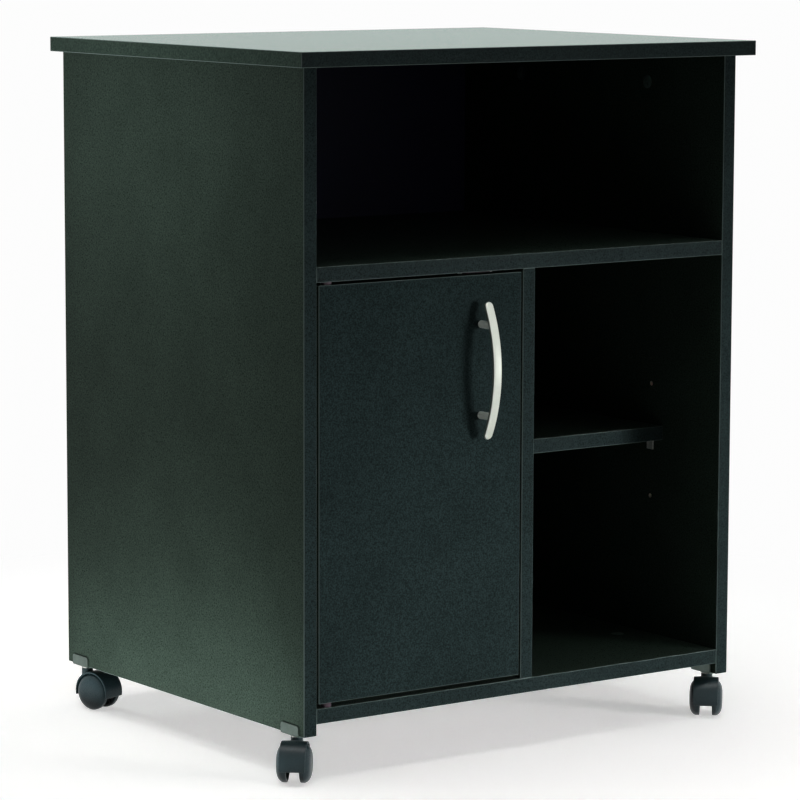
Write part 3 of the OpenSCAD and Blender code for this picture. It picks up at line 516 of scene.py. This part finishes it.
def plated(name, base, roughness, grain, stretch=(1, 1, 1), wear=0.06, metallic=1.0):
    """Plated metal: the colour of the plating, with the marks that brushing or tumbling left in its
    gloss and soft clouds where it is a little thicker or duller."""
    material, tree, shader, place = bare_material(name)
    marks = mottle(tree, place, grain, -1.0, 1.0, 3.0, stretch)
    cloud = mottle(tree, place, 9 * MM, 1 - wear, 1 + wear)
    tone = add(tree, "Mix", {0: 1.0, 6: base, 7: cloud}, **TIMES).outputs[2]
    shade = add(tree, "Math", {0: marks, 1: wear, 2: 1.0}, operation="MULTIPLY_ADD").outputs[0]
    rough = add(tree, "Math", {0: marks, 1: 0.06, 2: roughness}, operation="MULTIPLY_ADD").outputs[0]
    connect(tree, shader, {
        "Base Color": add(tree, "Mix", {0: 1.0, 6: tone, 7: shade}, **TIMES).outputs[2],
        "Metallic": metallic, "Roughness": rough,
        "Normal": add(tree, "Bump", {"Height": marks, "Distance": 0.004 * MM}).outputs["Normal"]})
    return material


def satin_nickel(settings):
    """Satin nickel plating, brushed along the bar: an even, slightly warm grey with a soft sheen."""
    # Real brush marks are about 0.05 mm apart and are drawn wider, so that they show
    return plated("satin_nickel", settings.nickel, 0.36, settings.brush, (1, 1, 30), 0.03)


def dull_nickel(settings):
    """Nickel plating on a post cut from drawn bar, left as it comes from the bath: a soft grey, too
    matt to show reflections, with the faint marks of drawing along the post."""
    return plated("dull_nickel", settings.dull_nickel, 0.5, 0.5 * MM, (1, 6, 1), 0.05, 0.0)


def dull_zinc(settings):
    """Zinc plating on stamped and cast parts: grey-green and cloudy."""
    return plated("dull_zinc", settings.dull_zinc, 0.48, 0.9 * MM, wear=0.12)


def bright_zinc(settings):
    """Bright zinc plating on turned and drawn steel: a clear silver with fine tumbling marks."""
    return plated("bright_zinc", settings.bright_zinc, 0.3, 0.4 * MM, metallic=0.6)


def moulded(name, base, roughness=0.3, level=0.2, grain=0.5 * MM):
    """Nylon or another compound pressed in a spark-eroded mould: even in colour under a fine matt
    texture, which softens its highlights."""
    material, tree, shader, place = bare_material(name)
    # Real spark texture is about 0.05 mm fine and is drawn coarser, so that it shows
    spark = mottle(tree, place, grain, -1.0, 1.0, 3.0)
    cloud = mottle(tree, place, 14 * MM, 0.92, 1.08)
    flow = add(tree, "Mix", {0: 1.0, 6: base, 7: cloud}, **TIMES).outputs[2]
    shade = add(tree, "Math", {0: spark, 1: 0.12, 2: 1.0}, operation="MULTIPLY_ADD").outputs[0]
    rough = add(tree, "Math", {0: spark, 1: 0.05, 2: roughness}, operation="MULTIPLY_ADD").outputs[0]
    connect(tree, shader, {
        "Base Color": add(tree, "Mix", {0: 1.0, 6: flow, 7: shade}, **TIMES).outputs[2],
        "Roughness": rough, "IOR": 1.53, "Specular IOR Level": level,
        "Normal": add(tree, "Bump", {"Height": spark, "Distance": 0.01 * MM}).outputs["Normal"]})
    return material


def bare_beech(settings):
    """Beech dowel rod, planed and fluted: pale pink-brown with short dark flecks along the grain."""
    material, tree, shader, place = bare_material("bare_beech")
    flecks = mottle(tree, place, 0.4 * MM, 0.75, 1.25, 3.0, (6, 1, 1))
    connect(tree, shader, {
        "Base Color": add(tree, "Mix", {0: 1.0, 6: settings.beech, 7: flecks}, **TIMES).outputs[2],
        "Roughness": 0.65, "IOR": 1.5,
        "Normal": add(tree, "Bump", {"Height": flecks, "Distance": 0.03 * MM}).outputs["Normal"]})
    return material


# Operators

# Each board with whether its rear edges are bare, and its specular level, haze and roughness
BOARDS = {
    # The top has the glossier paper of a work surface, and alone has haze
    "top_panel": (False, 0.02, 0.32, 0.14),
    "adjustable_shelf": (False, 0.02, 0.0, 0.3),
    "middle_shelf": (True, 0.02, 0.0, 0.3),
    "bottom_shelf": (True, 0.02, 0.0, 0.3),
    "side_panel_left": (True, 0.01, 0.0, 0.3),
    "side_panel_right": (True, 0.01, 0.0, 0.3),
    "divider": (True, 0.01, 0.0, 0.3),
    "door": (False, 0.0, 0.0, 0.3),
}


class STAND_OT_boards(bpy.types.Operator):
    """Finishes the boards in black melamine and the back in printed hardboard"""

    bl_idname = "stand.boards"
    bl_label = "Boards and back"

    def execute(self, context):
        settings = context.scene.stand_boards
        for node, finish in BOARDS.items():
            dress(black_melamine(settings, node, *finish), node)
        dress(printed_hardboard(settings), "back_panel")
        return {"FINISHED"}


class STAND_OT_fittings(bpy.types.Operator):
    """Finishes the board fasteners, the shelf pins, the pivots and the catch"""

    bl_idname = "stand.fittings"
    bl_label = "Fittings"

    def execute(self, context):
        scene = context.scene
        dress(dull_zinc(scene.stand_clips), "cam_locks", "cam_bolts", "caster_sockets")
        dress(bright_zinc(scene.stand_clips), "back_nails", "shelf_pins", "hinge_pin_top",
              "hinge_pin_bottom", "handle_screws", "catch_poles", "catch_screws", "strike_plate",
              "strike_screw", "caster_stems", *["caster_axle_" + key for key in CORNERS])
        dress(bare_beech(scene.stand_boards), "wood_dowels")
        dress(moulded("brown_nylon", scene.stand_fittings.brown_nylon), "hinge_bush_top",
              "hinge_bush_bottom", "catch_housing")
        dress(moulded("sintered_ferrite", scene.stand_fittings.ferrite, 0.6, 0.5, 0.3 * MM),
              "catch_magnet")
        return {"FINISHED"}


def bow_bar(settings, width):
    """Flat bar with round ends, bent to a bow about Y: a point at a length along X and a height goes
    to the bow's radius plus its height, at the angle that its length spans on the radius."""
    radius, half = settings.bow_radius, settings.bar_thickness / 2
    reach = radius * math.asin((settings.bar_length - width) / 2 / radius)
    flat = plate(stadium(2 * reach + width, width), width / 2, half, settings.edge_radius)
    out, angle = radius + flat[..., 2], flat[..., 0] / radius
    return np.stack([out * np.sin(angle), flat[..., 1], out * np.cos(angle)], axis=-1)


def bow_post(radius, ease, offset, bow_middle, back_radius, steps=64):
    """Round post along Z. Its foot has an edge that follows a quarter circle. Its end lies on the back
    of the bow, a cylinder about Y: at an X, its height is that of the cylinder there."""
    angle = np.linspace(0, 2 * math.pi, steps, endpoint=False)
    turn = np.linspace(0, math.pi / 2, 6)
    rim = np.stack([radius - ease + ease * np.sin(turn), ease - ease * np.cos(turn)], axis=-1)
    foot = turned(np.concatenate([[(0, 0)], rim]), steps)
    out = np.linspace(radius, 0, 5)[:, None]
    x, y = out * np.cos(angle), out * np.sin(angle)
    end = np.stack([x, y, np.sqrt(back_radius ** 2 - (x + offset) ** 2) - bow_middle], axis=-1)
    return np.concatenate([foot, end])


class STAND_OT_handle(bpy.types.Operator):
    """Makes the bow handle's bar and its two posts"""

    bl_idname = "stand.handle"
    bl_label = "Bow handle"

    def execute(self, context):
        settings = context.scene.stand_handle
        half = settings.bar_thickness / 2
        middle = (BAR_LOW + BAR_HIGH) / 2
        bow_y = BAR_LOW[1] + settings.bow_radius + half
        bar = surface("bar", (bow_bar(settings, BAR_HIGH[0] - BAR_LOW[0]), True, False))
        bar = copied(bar, ((middle[0], bow_y, middle[2]), (Z_AXIS, -X_AXIS, -Y_AXIS)))
        piece("bow_handle_bar", bar, satin_nickel(settings), "door", "satin_nickel", "handle_bar")

        radius = (POST_HIGH[0] - POST_LOW[0]) / 2
        pitch = (POST_HIGH[2] - POST_LOW[2]) / 2 - radius
        back_radius = settings.bow_radius - half - POST_PLAY
        post = bow_post(radius, settings.post_ease, pitch, bow_y - POST_HIGH[1], back_radius)
        post = surface("post", (post, True, False))
        places = [((middle[0], POST_HIGH[1], middle[2] + way * pitch),
                   (way * Z_AXIS, -way * X_AXIS, -Y_AXIS)) for way in (-1, 1)]
        piece("bow_handle_posts", copied(post, *places), dull_nickel(settings), "door", "grey_nickel",
              "handle_posts")
        return {"FINISHED"}


def hood_arch(settings):
    """Hood over the wheels, about the axle along X. Its section is flat inside, crowned outside by a
    parabola and round at its four edges. It is carried along a circle that passes over the axle, and
    over the last half thickness at either end it shrinks to its middle line by a quarter circle."""
    half, thick, edge = HOOD_HALF, settings.hood_thickness, settings.hood_edge
    run = np.linspace(-1, 1, 17) * (half - edge)
    crown = settings.hood_crown * (run / half) ** 2
    turn = np.linspace(0, math.pi / 2, 6)[:-1]
    side = half - edge + edge * np.cos(turn)
    outer = thick / 2 - crown[0] - edge + edge * np.sin(turn)
    inner = edge - thick / 2 - edge * np.sin(turn)
    across = np.concatenate([run, side[::-1], side, run[::-1], -side[::-1], -side])
    height = np.concatenate([thick / 2 - crown, outer[::-1], inner, 0 * run - thick / 2,
                             inner[::-1], outer])

    middle = settings.hood_radius - thick / 2
    drop = math.asin(settings.hood_drop / (middle - thick / 2))
    close = np.linspace(0, math.pi / 2, 7)
    lead = thick / 2 / middle * (1 - np.cos(close))
    body = np.linspace(lead[-1] - drop, math.pi + drop - lead[-1], 97)[1:-1]
    angle = np.concatenate([lead - drop, body, (math.pi + drop - lead)[::-1]])[:, None]
    share = np.concatenate([np.sin(close), 1 + 0 * body, np.sin(close)[::-1]])[:, None]
    radius = middle + height * share
    x = across * (1 - edge / half * (1 - share))
    return np.stack([x, radius * np.cos(angle), radius * np.sin(angle)], axis=-1)


def web_outline(settings):
    """Outline of the web about the axle in polar form: the hood's radius above the hood's lower edge,
    that edge's straight line below, and never less than the web's own radius."""
    angle = np.linspace(0, 2 * math.pi, 144, endpoint=False)
    middle = settings.hood_radius - settings.hood_thickness / 2
    straight = settings.hood_drop / np.maximum(-np.sin(angle), settings.hood_drop / middle)
    radius = np.maximum(settings.web_radius, straight)
    return lambda inset: (radius * (1 - inset / settings.web_radius) * np.cos(angle),
                          radius * (1 - inset / settings.web_radius) * np.sin(angle))


def hood_shape(settings):
    """Hood, web and boss in one, about the axle along X, with bores for the stem and the axle."""
    arch = surface("arch", (hood_arch(settings), True, False))
    half, web_edge, boss_edge = settings.web_thickness / 2, 0.4 * MM, 0.5 * MM
    flat = plate(web_outline(settings), settings.web_radius, half, web_edge)
    web = surface("web", (flat[..., [2, 0, 1]], True, False))
    top = span("caster_hood_fl", HUB, Z_AXIS)[1]
    turn = np.linspace(0, math.pi / 2, 6)
    rim = np.stack([settings.boss_radius - boss_edge + boss_edge * np.cos(turn),
                    top - boss_edge + boss_edge * np.sin(turn)], axis=-1)
    boss = turned(np.concatenate([[(0, 0), (settings.boss_radius, 0)], rim, [(0, top)]]))
    boss = surface("boss", (boss - (0, TRAIL, 0), True, False))
    body = worked(arch, "UNION", web, boss)
    # The bore for the stem is blind, and the bore for the axle goes through
    foot = corners("caster_stems")[0][2] - HUB[2]
    bore = rod(settings.stem_radius + STEM_PLAY, foot - 0.5 * MM, top + 1 * MM)
    bore.transform(Matrix.Translation((0, -TRAIL, 0)))
    cross = rod(settings.axle_radius + AXLE_PLAY, -half - 1 * MM, half + 1 * MM)
    cross.transform(Matrix.Rotation(math.pi / 2, 4, "Y"))
    return worked(body, "DIFFERENCE", bore, cross)


def dome(settings, radius, wall):
    """Height of a wheel's domed wall at a radius: full height times the root of one less the fourth
    power of the radius over a little more than the wheel's radius."""
    foot = WHEEL_INNER + WHEEL_LIP
    return foot + (WHEEL_OUTER - foot - wall) * np.sqrt(1 - (radius / (1.03 * WHEEL_RADIUS - wall)) ** 4)


def wheel_profile(settings, hub):
    """Profile of a hollow wheel about its axle: dome with a small gate mark, shaped as a bell curve,
    rounded tread, open rim, inner wall and hub with a blind bore."""
    wall, bore = settings.wheel_wall, settings.axle_radius + WHEEL_PLAY
    step, ease, inner = 0.2 * MM, 0.8 * MM, WHEEL_RADIUS - wall
    gate_depth, gate_radius, bore_floor = 0.2 * MM, 1.5 * MM, 0.8 * MM
    out = WHEEL_RADIUS * np.sin(np.linspace(0, math.radians(80), 33))
    gate = gate_depth * np.exp(-(out / gate_radius) ** 2)
    shell = np.stack([out, dome(settings, out, 0) - gate], axis=-1)
    turn = np.linspace(0, math.pi / 2, 6)
    tread = WHEEL_INNER + WHEEL_LIP + settings.tread
    shoulder = np.stack([WHEEL_RADIUS - step * (1 - np.sin(turn)), tread - step * np.sin(turn)], axis=-1)
    rim = np.stack([WHEEL_RADIUS - ease + ease * np.cos(turn),
                    WHEEL_INNER + ease - ease * np.sin(turn)], axis=-1)
    back = np.linspace(inner * 0.95, hub, 17)
    hollow = np.stack([back, dome(settings, back, wall)], axis=-1)
    end = settings.web_thickness / 2 + HUB_PLAY
    bore_end = WHEEL_OUTER - wall - bore_floor
    return np.concatenate([shell, shoulder, rim, [(inner, WHEEL_INNER)], hollow,
                           [(hub, end), (bore, end), (bore, bore_end), (0, bore_end)]])


def wheel_shape(settings):
    """Wheel about Z with ribs, which are sunk into its hub and its rim at their ends."""
    hub_wall, sink, edge = 2.5 * MM, 1.2 * MM, 0.2 * MM
    rib_width, rib_half, rib_height = 3 * MM, 0.6 * MM, 3.5 * MM
    hub, rim = settings.axle_radius + hub_wall, WHEEL_RADIUS - settings.wheel_wall
    body = surface("wheel", (turned(wheel_profile(settings, hub), 144), True, False))
    flat = plate(stadium(rim - hub + 2 * sink, rib_width, 8), rib_width / 2, rib_half, edge)
    along = flat[..., 0] + (rim + hub) / 2
    ribs = []
    for turn in np.arange(settings.ribs) * 2 * math.pi / max(settings.ribs, 1):
        x = along * math.cos(turn) - flat[..., 2] * math.sin(turn)
        y = along * math.sin(turn) + flat[..., 2] * math.cos(turn)
        rib = np.stack([x, y, flat[..., 1] + WHEEL_INNER + rib_height], axis=-1)
        ribs.append(surface("rib", (rib, True, False)))
    return worked(body, "UNION", *ribs)


class STAND_OT_casters(bpy.types.Operator):
    """Makes the hoods and the wheels of the four casters"""

    bl_idname = "stand.casters"
    bl_label = "Hooded casters"

    def execute(self, context):
        settings = context.scene.stand_casters
        nylon = moulded("black_nylon", settings.nylon)
        hood, wheel = hood_shape(settings), wheel_shape(settings)
        for key in CORNERS:
            hub, (axle, behind, up), _ = caster_place(key)
            piece("hooded_fork_" + key, copied(hood, (hub, (axle, behind, up))), nylon, "caster_" + key,
                  "black_nylon", "caster_hood_" + key)
            for side, way in (("left", -1), ("right", 1)):
                name = side + "_" + key
                ways = (way * behind, up, way * axle)
                piece("domed_wheel_" + name, copied(wheel, (hub, ways)), nylon, "wheel_" + name,
                      "black_nylon", "wheel_" + name)
        return {"FINISHED"}


def bent_clip(settings, half, height):
    """Channel of bent sheet. A centre line runs down, along and up again inside the channel; the inner
    face lies the bend radius away from it and the outer face one sheet further. The flanges' corners
    draw the sheet's length in by a quarter circle."""
    bend, sheet, corner = settings.bend, settings.sheet, settings.corner
    floor, reach = sheet + bend, settings.clip_length / 2
    turn = np.linspace(0, math.pi / 2, 7)
    bends = turn[1:-1]
    down = np.concatenate([height - corner + corner * np.sin(turn[::-1]),
                           np.linspace(height - corner, floor, 5)[1:]])
    short = np.concatenate([corner * (1 - np.cos(turn[::-1])), np.zeros(4)])
    run = np.linspace(bend - half, half - bend, 9)
    x = np.concatenate([np.full_like(down, run[0]), np.full_like(bends, run[0]), run,
                        np.full_like(bends, run[-1]), np.full_like(down, run[-1])])
    z = np.concatenate([down, np.full_like(bends, floor), np.full_like(run, floor),
                        np.full_like(bends, floor), down[::-1]])
    way = np.concatenate([0 * down + math.pi, math.pi + bends, 0 * run + 1.5 * math.pi,
                          1.5 * math.pi + bends, 0 * down + 2 * math.pi])
    draw = np.concatenate([short, 0 * bends, 0 * run, 0 * bends, short[::-1]])
    y = np.linspace(-1, 1, 9)[:, None] * (reach - draw)
    outside, inside = [np.stack([x + r * np.cos(way) + 0 * y, y, z + r * np.sin(way) + 0 * y], axis=-1)
                       for r in (bend + sheet, bend)]
    ring = np.concatenate([outside, inside[::-1]])
    caps = [(np.stack([outside[:, end], inside[:, end]]), False, False) for end in (0, -1)]
    return surface("clip", (ring, False, True), *caps)


class STAND_OT_clips(bpy.types.Operator):
    """Makes the clips round the lower edges of the side panels"""

    bl_idname = "stand.clips"
    bl_label = "Caster clips"

    def execute(self, context):
        settings = context.scene.stand_clips
        low, high = corners("caster_clips")
        panel_low, panel_high = corners("side_panel_left")
        half = (panel_high[0] - panel_low[0]) / 2 + CLIP_PLAY
        clip = bent_clip(settings, half, high[2] - low[2])
        hole = rod(settings.hole / 2, -1 * MM, 2 * settings.sheet)
        clip = worked(clip, "DIFFERENCE", hole)
        feet = [joint("swivel_" + key)[0] * (1, 1, 0) + low * (0, 0, 1) for key in CORNERS]
        clips = piece("bent_caster_clips", copied(clip, *[(foot, np.eye(3)) for foot in feet]),
                      dull_zinc(settings), "cabinet", "dark_zinc", "caster_clips")
        worn = clips.modifiers.new("sheared_edges", "BEVEL")
        worn.width = settings.sheared
        worn.segments = 2
        worn.limit_method = "ANGLE"
        worn.angle_limit = math.radians(50)
        return {"FINISHED"}


# Each light's place, what it faces, its width and height, whether gloss shows it, and the angle in
# degrees that it spreads over
LIGHTS = {
    # Narrowed to the lower half, so that the door darkens towards its top
    "key_light": ((1.65, -2.8, 0.38), (0.05, -0.25, 0.08), 1.1, 0.4, False, 28),
    # Below the plane of the top, so that it lights the panel alone
    "side_light": ((-0.6, 0.12, 0.67), (-0.28, 0.12, 0.67), 0.4, 0.12, False, 180),
    "back_light": ((-0.3, 2.6, 1.25), (0, 0, 0.7), 1.0, 0.5, False, 180),
    "top_light": ((0, 0, 3.0), (0, 0, 0.4), 2.0, 2.0, True, 180),
    "low_light": ((1.3, -1.9, 0.3), (-0.2, -0.2, 0.05), 0.15, 0.5, True, 180),
    # Lies on the floor and faces up
    "left_bounce": ((-0.38, 0.02, 0.01), (-0.38, 0.02, 1.0), 0.1, 0.5, False, 180),
}


def soft_light(name, watts, place, aim, width, tall, glossy, spread):
    """A rectangular light that the camera doesn't see, set out as its row in the table says."""
    lamp = bpy.data.lights.new(name, "AREA")
    lamp.energy, lamp.shape, lamp.size, lamp.size_y = watts, "RECTANGLE", width, tall
    lamp.spread = math.radians(spread)
    placed = bpy.data.objects.new(name, lamp)
    placed.location = place
    placed.rotation_euler = (Vector(place) - Vector(aim)).to_track_quat("Z", "Y").to_euler()
    placed.visible_camera = False
    placed.visible_glossy = glossy
    bpy.context.scene.collection.objects.link(placed)


def shown_rays(tree):
    """One for the rays that show the background: from the camera, from gloss and through glass."""
    path = add(tree, "LightPath")
    seen = add(tree, "Math", {0: path.outputs["Is Camera Ray"], 1: path.outputs["Is Glossy Ray"]},
               operation="MAXIMUM")
    return add(tree, "Math", {0: seen.outputs[0], 1: path.outputs["Is Transmission Ray"]},
               operation="MAXIMUM").outputs[0]


class STAND_OT_studio(bpy.types.Operator):
    """Sets up the floor, the even white surroundings, the lights and the camera"""

    bl_idname = "stand.studio"
    bl_label = "Studio"

    def execute(self, context):
        scene, settings = context.scene, context.scene.stand_studio
        scene.view_settings.view_transform = "Standard"
        self.surroundings(scene, settings)
        self.floor(scene, settings)
        for name, setting_out in LIGHTS.items():
            soft_light(name, getattr(settings, name), *setting_out)
        self.camera(scene, settings)
        return {"FINISHED"}

    def surroundings(self, scene, settings):
        """Surroundings that show white and light the stand evenly at their own strength."""
        world = bpy.data.worlds.new("studio")
        world.use_nodes = True
        tree = world.node_tree
        tree.nodes.clear()
        level = add(tree, "Math", {0: shown_rays(tree), 1: settings.white - settings.ambient,
                                   2: settings.ambient}, operation="MULTIPLY_ADD")
        even = add(tree, "Background", {"Color": (1, 1, 1, 1), "Strength": level.outputs[0]})
        add(tree, "OutputWorld", {"Surface": even.outputs[0]})
        scene.world = world

    def floor(self, scene, settings):
        """Pale floor that takes the stand's shadow and fades to the white of the surroundings."""
        reach = settings.floor_side / 2
        mesh = bpy.data.meshes.new("floor")
        square = [(-reach, -reach, 0), (reach, -reach, 0), (reach, reach, 0), (-reach, reach, 0)]
        mesh.from_pydata(square, [], [(0, 1, 2, 3)])
        floor = bpy.data.objects.new("floor", mesh)
        scene.collection.objects.link(floor)
        material, tree, shader, place = bare_material("pale_floor")
        rays = shown_rays(tree)
        glow = add(tree, "Math", {0: rays, 1: settings.glow}, operation="MULTIPLY").outputs[0]
        connect(tree, shader, {
            "Base Color": settings.floor, "Roughness": 0.9, "Specular IOR Level": 0.0,
            "Emission Color": (1, 1, 1, 1), "Emission Strength": glow})
        far = add(tree, "VectorMath", {0: place.outputs["Object"]}, operation="LENGTH").outputs["Value"]
        fade = add(tree, "MapRange", {"Value": far, "From Min": settings.fade_start,
                                      "From Max": settings.fade_end},
                   interpolation_type="SMOOTHSTEP").outputs["Result"]
        shown = add(tree, "Math", {0: fade, 1: rays}, operation="MULTIPLY").outputs[0]
        white = add(tree, "Emission", {"Strength": settings.white})
        mixed = add(tree, "MixShader", {0: shown, 1: shader.outputs[0], 2: white.outputs[0]})
        connect(tree, tree.nodes["Material Output"], {"Surface": mixed.outputs[0]})
        mesh.materials.append(material)

    def camera(self, scene, settings):
        """Camera whose view is turned, tilted and rolled from straight ahead along Y."""
        camera = bpy.data.objects.new("camera", bpy.data.cameras.new("camera"))
        camera.data.lens = settings.lens
        camera.data.sensor_width = 36.0
        turn = Matrix.Rotation(-settings.azimuth, 4, "Z")
        tilt = Matrix.Rotation(math.pi / 2 - settings.pitch, 4, "X")
        roll = Matrix.Rotation(settings.roll, 4, "Z")
        camera.matrix_world = Matrix.Translation(settings.place) @ turn @ tilt @ roll
        scene.collection.objects.link(camera)
        scene.camera = camera


# Panel and registration


GROUPS = {
    "stand_boards": BoardSettings, "stand_fittings": FittingSettings, "stand_handle": HandleSettings,
    "stand_casters": CasterSettings, "stand_clips": ClipSettings, "stand_studio": StudioSettings,
}
OPERATORS = (STAND_OT_boards, STAND_OT_fittings, STAND_OT_handle, STAND_OT_casters, STAND_OT_clips,
             STAND_OT_studio)


class STAND_PT_pieces(bpy.types.Panel):
    """Lists the settings and the operators of the printer stand"""

    bl_idname = "STAND_PT_pieces"
    bl_label = "Printer stand"
    bl_space_type = "VIEW_3D"
    bl_region_type = "UI"
    bl_category = "Printer stand"

    def draw(self, context):
        for operator in OPERATORS:
            self.layout.operator(operator.bl_idname)
        for name, group in GROUPS.items():
            box = self.layout.box()
            box.label(text=group.__doc__)
            for setting in group.__annotations__:
                box.prop(getattr(context.scene, name), setting)


def register():
    """Makes the classes known and gives each scene its settings."""
    for group in (*GROUPS.values(), *OPERATORS, STAND_PT_pieces):
        bpy.utils.register_class(group)
    for name, group in GROUPS.items():
        setattr(bpy.types.Scene, name, PointerProperty(type=group))


def unregister():
    """Takes away what register gave."""
    for name in GROUPS:
        delattr(bpy.types.Scene, name)
    for group in reversed((*GROUPS.values(), *OPERATORS, STAND_PT_pieces)):
        bpy.utils.unregister_class(group)


def main():
    """Makes the stand and its studio."""
    register()
    bpy.ops.stand.boards()
    bpy.ops.stand.fittings()
    bpy.ops.stand.handle()
    bpy.ops.stand.casters()
    bpy.ops.stand.clips()
    bpy.ops.stand.studio()


if __name__ == "__main__":
    main()
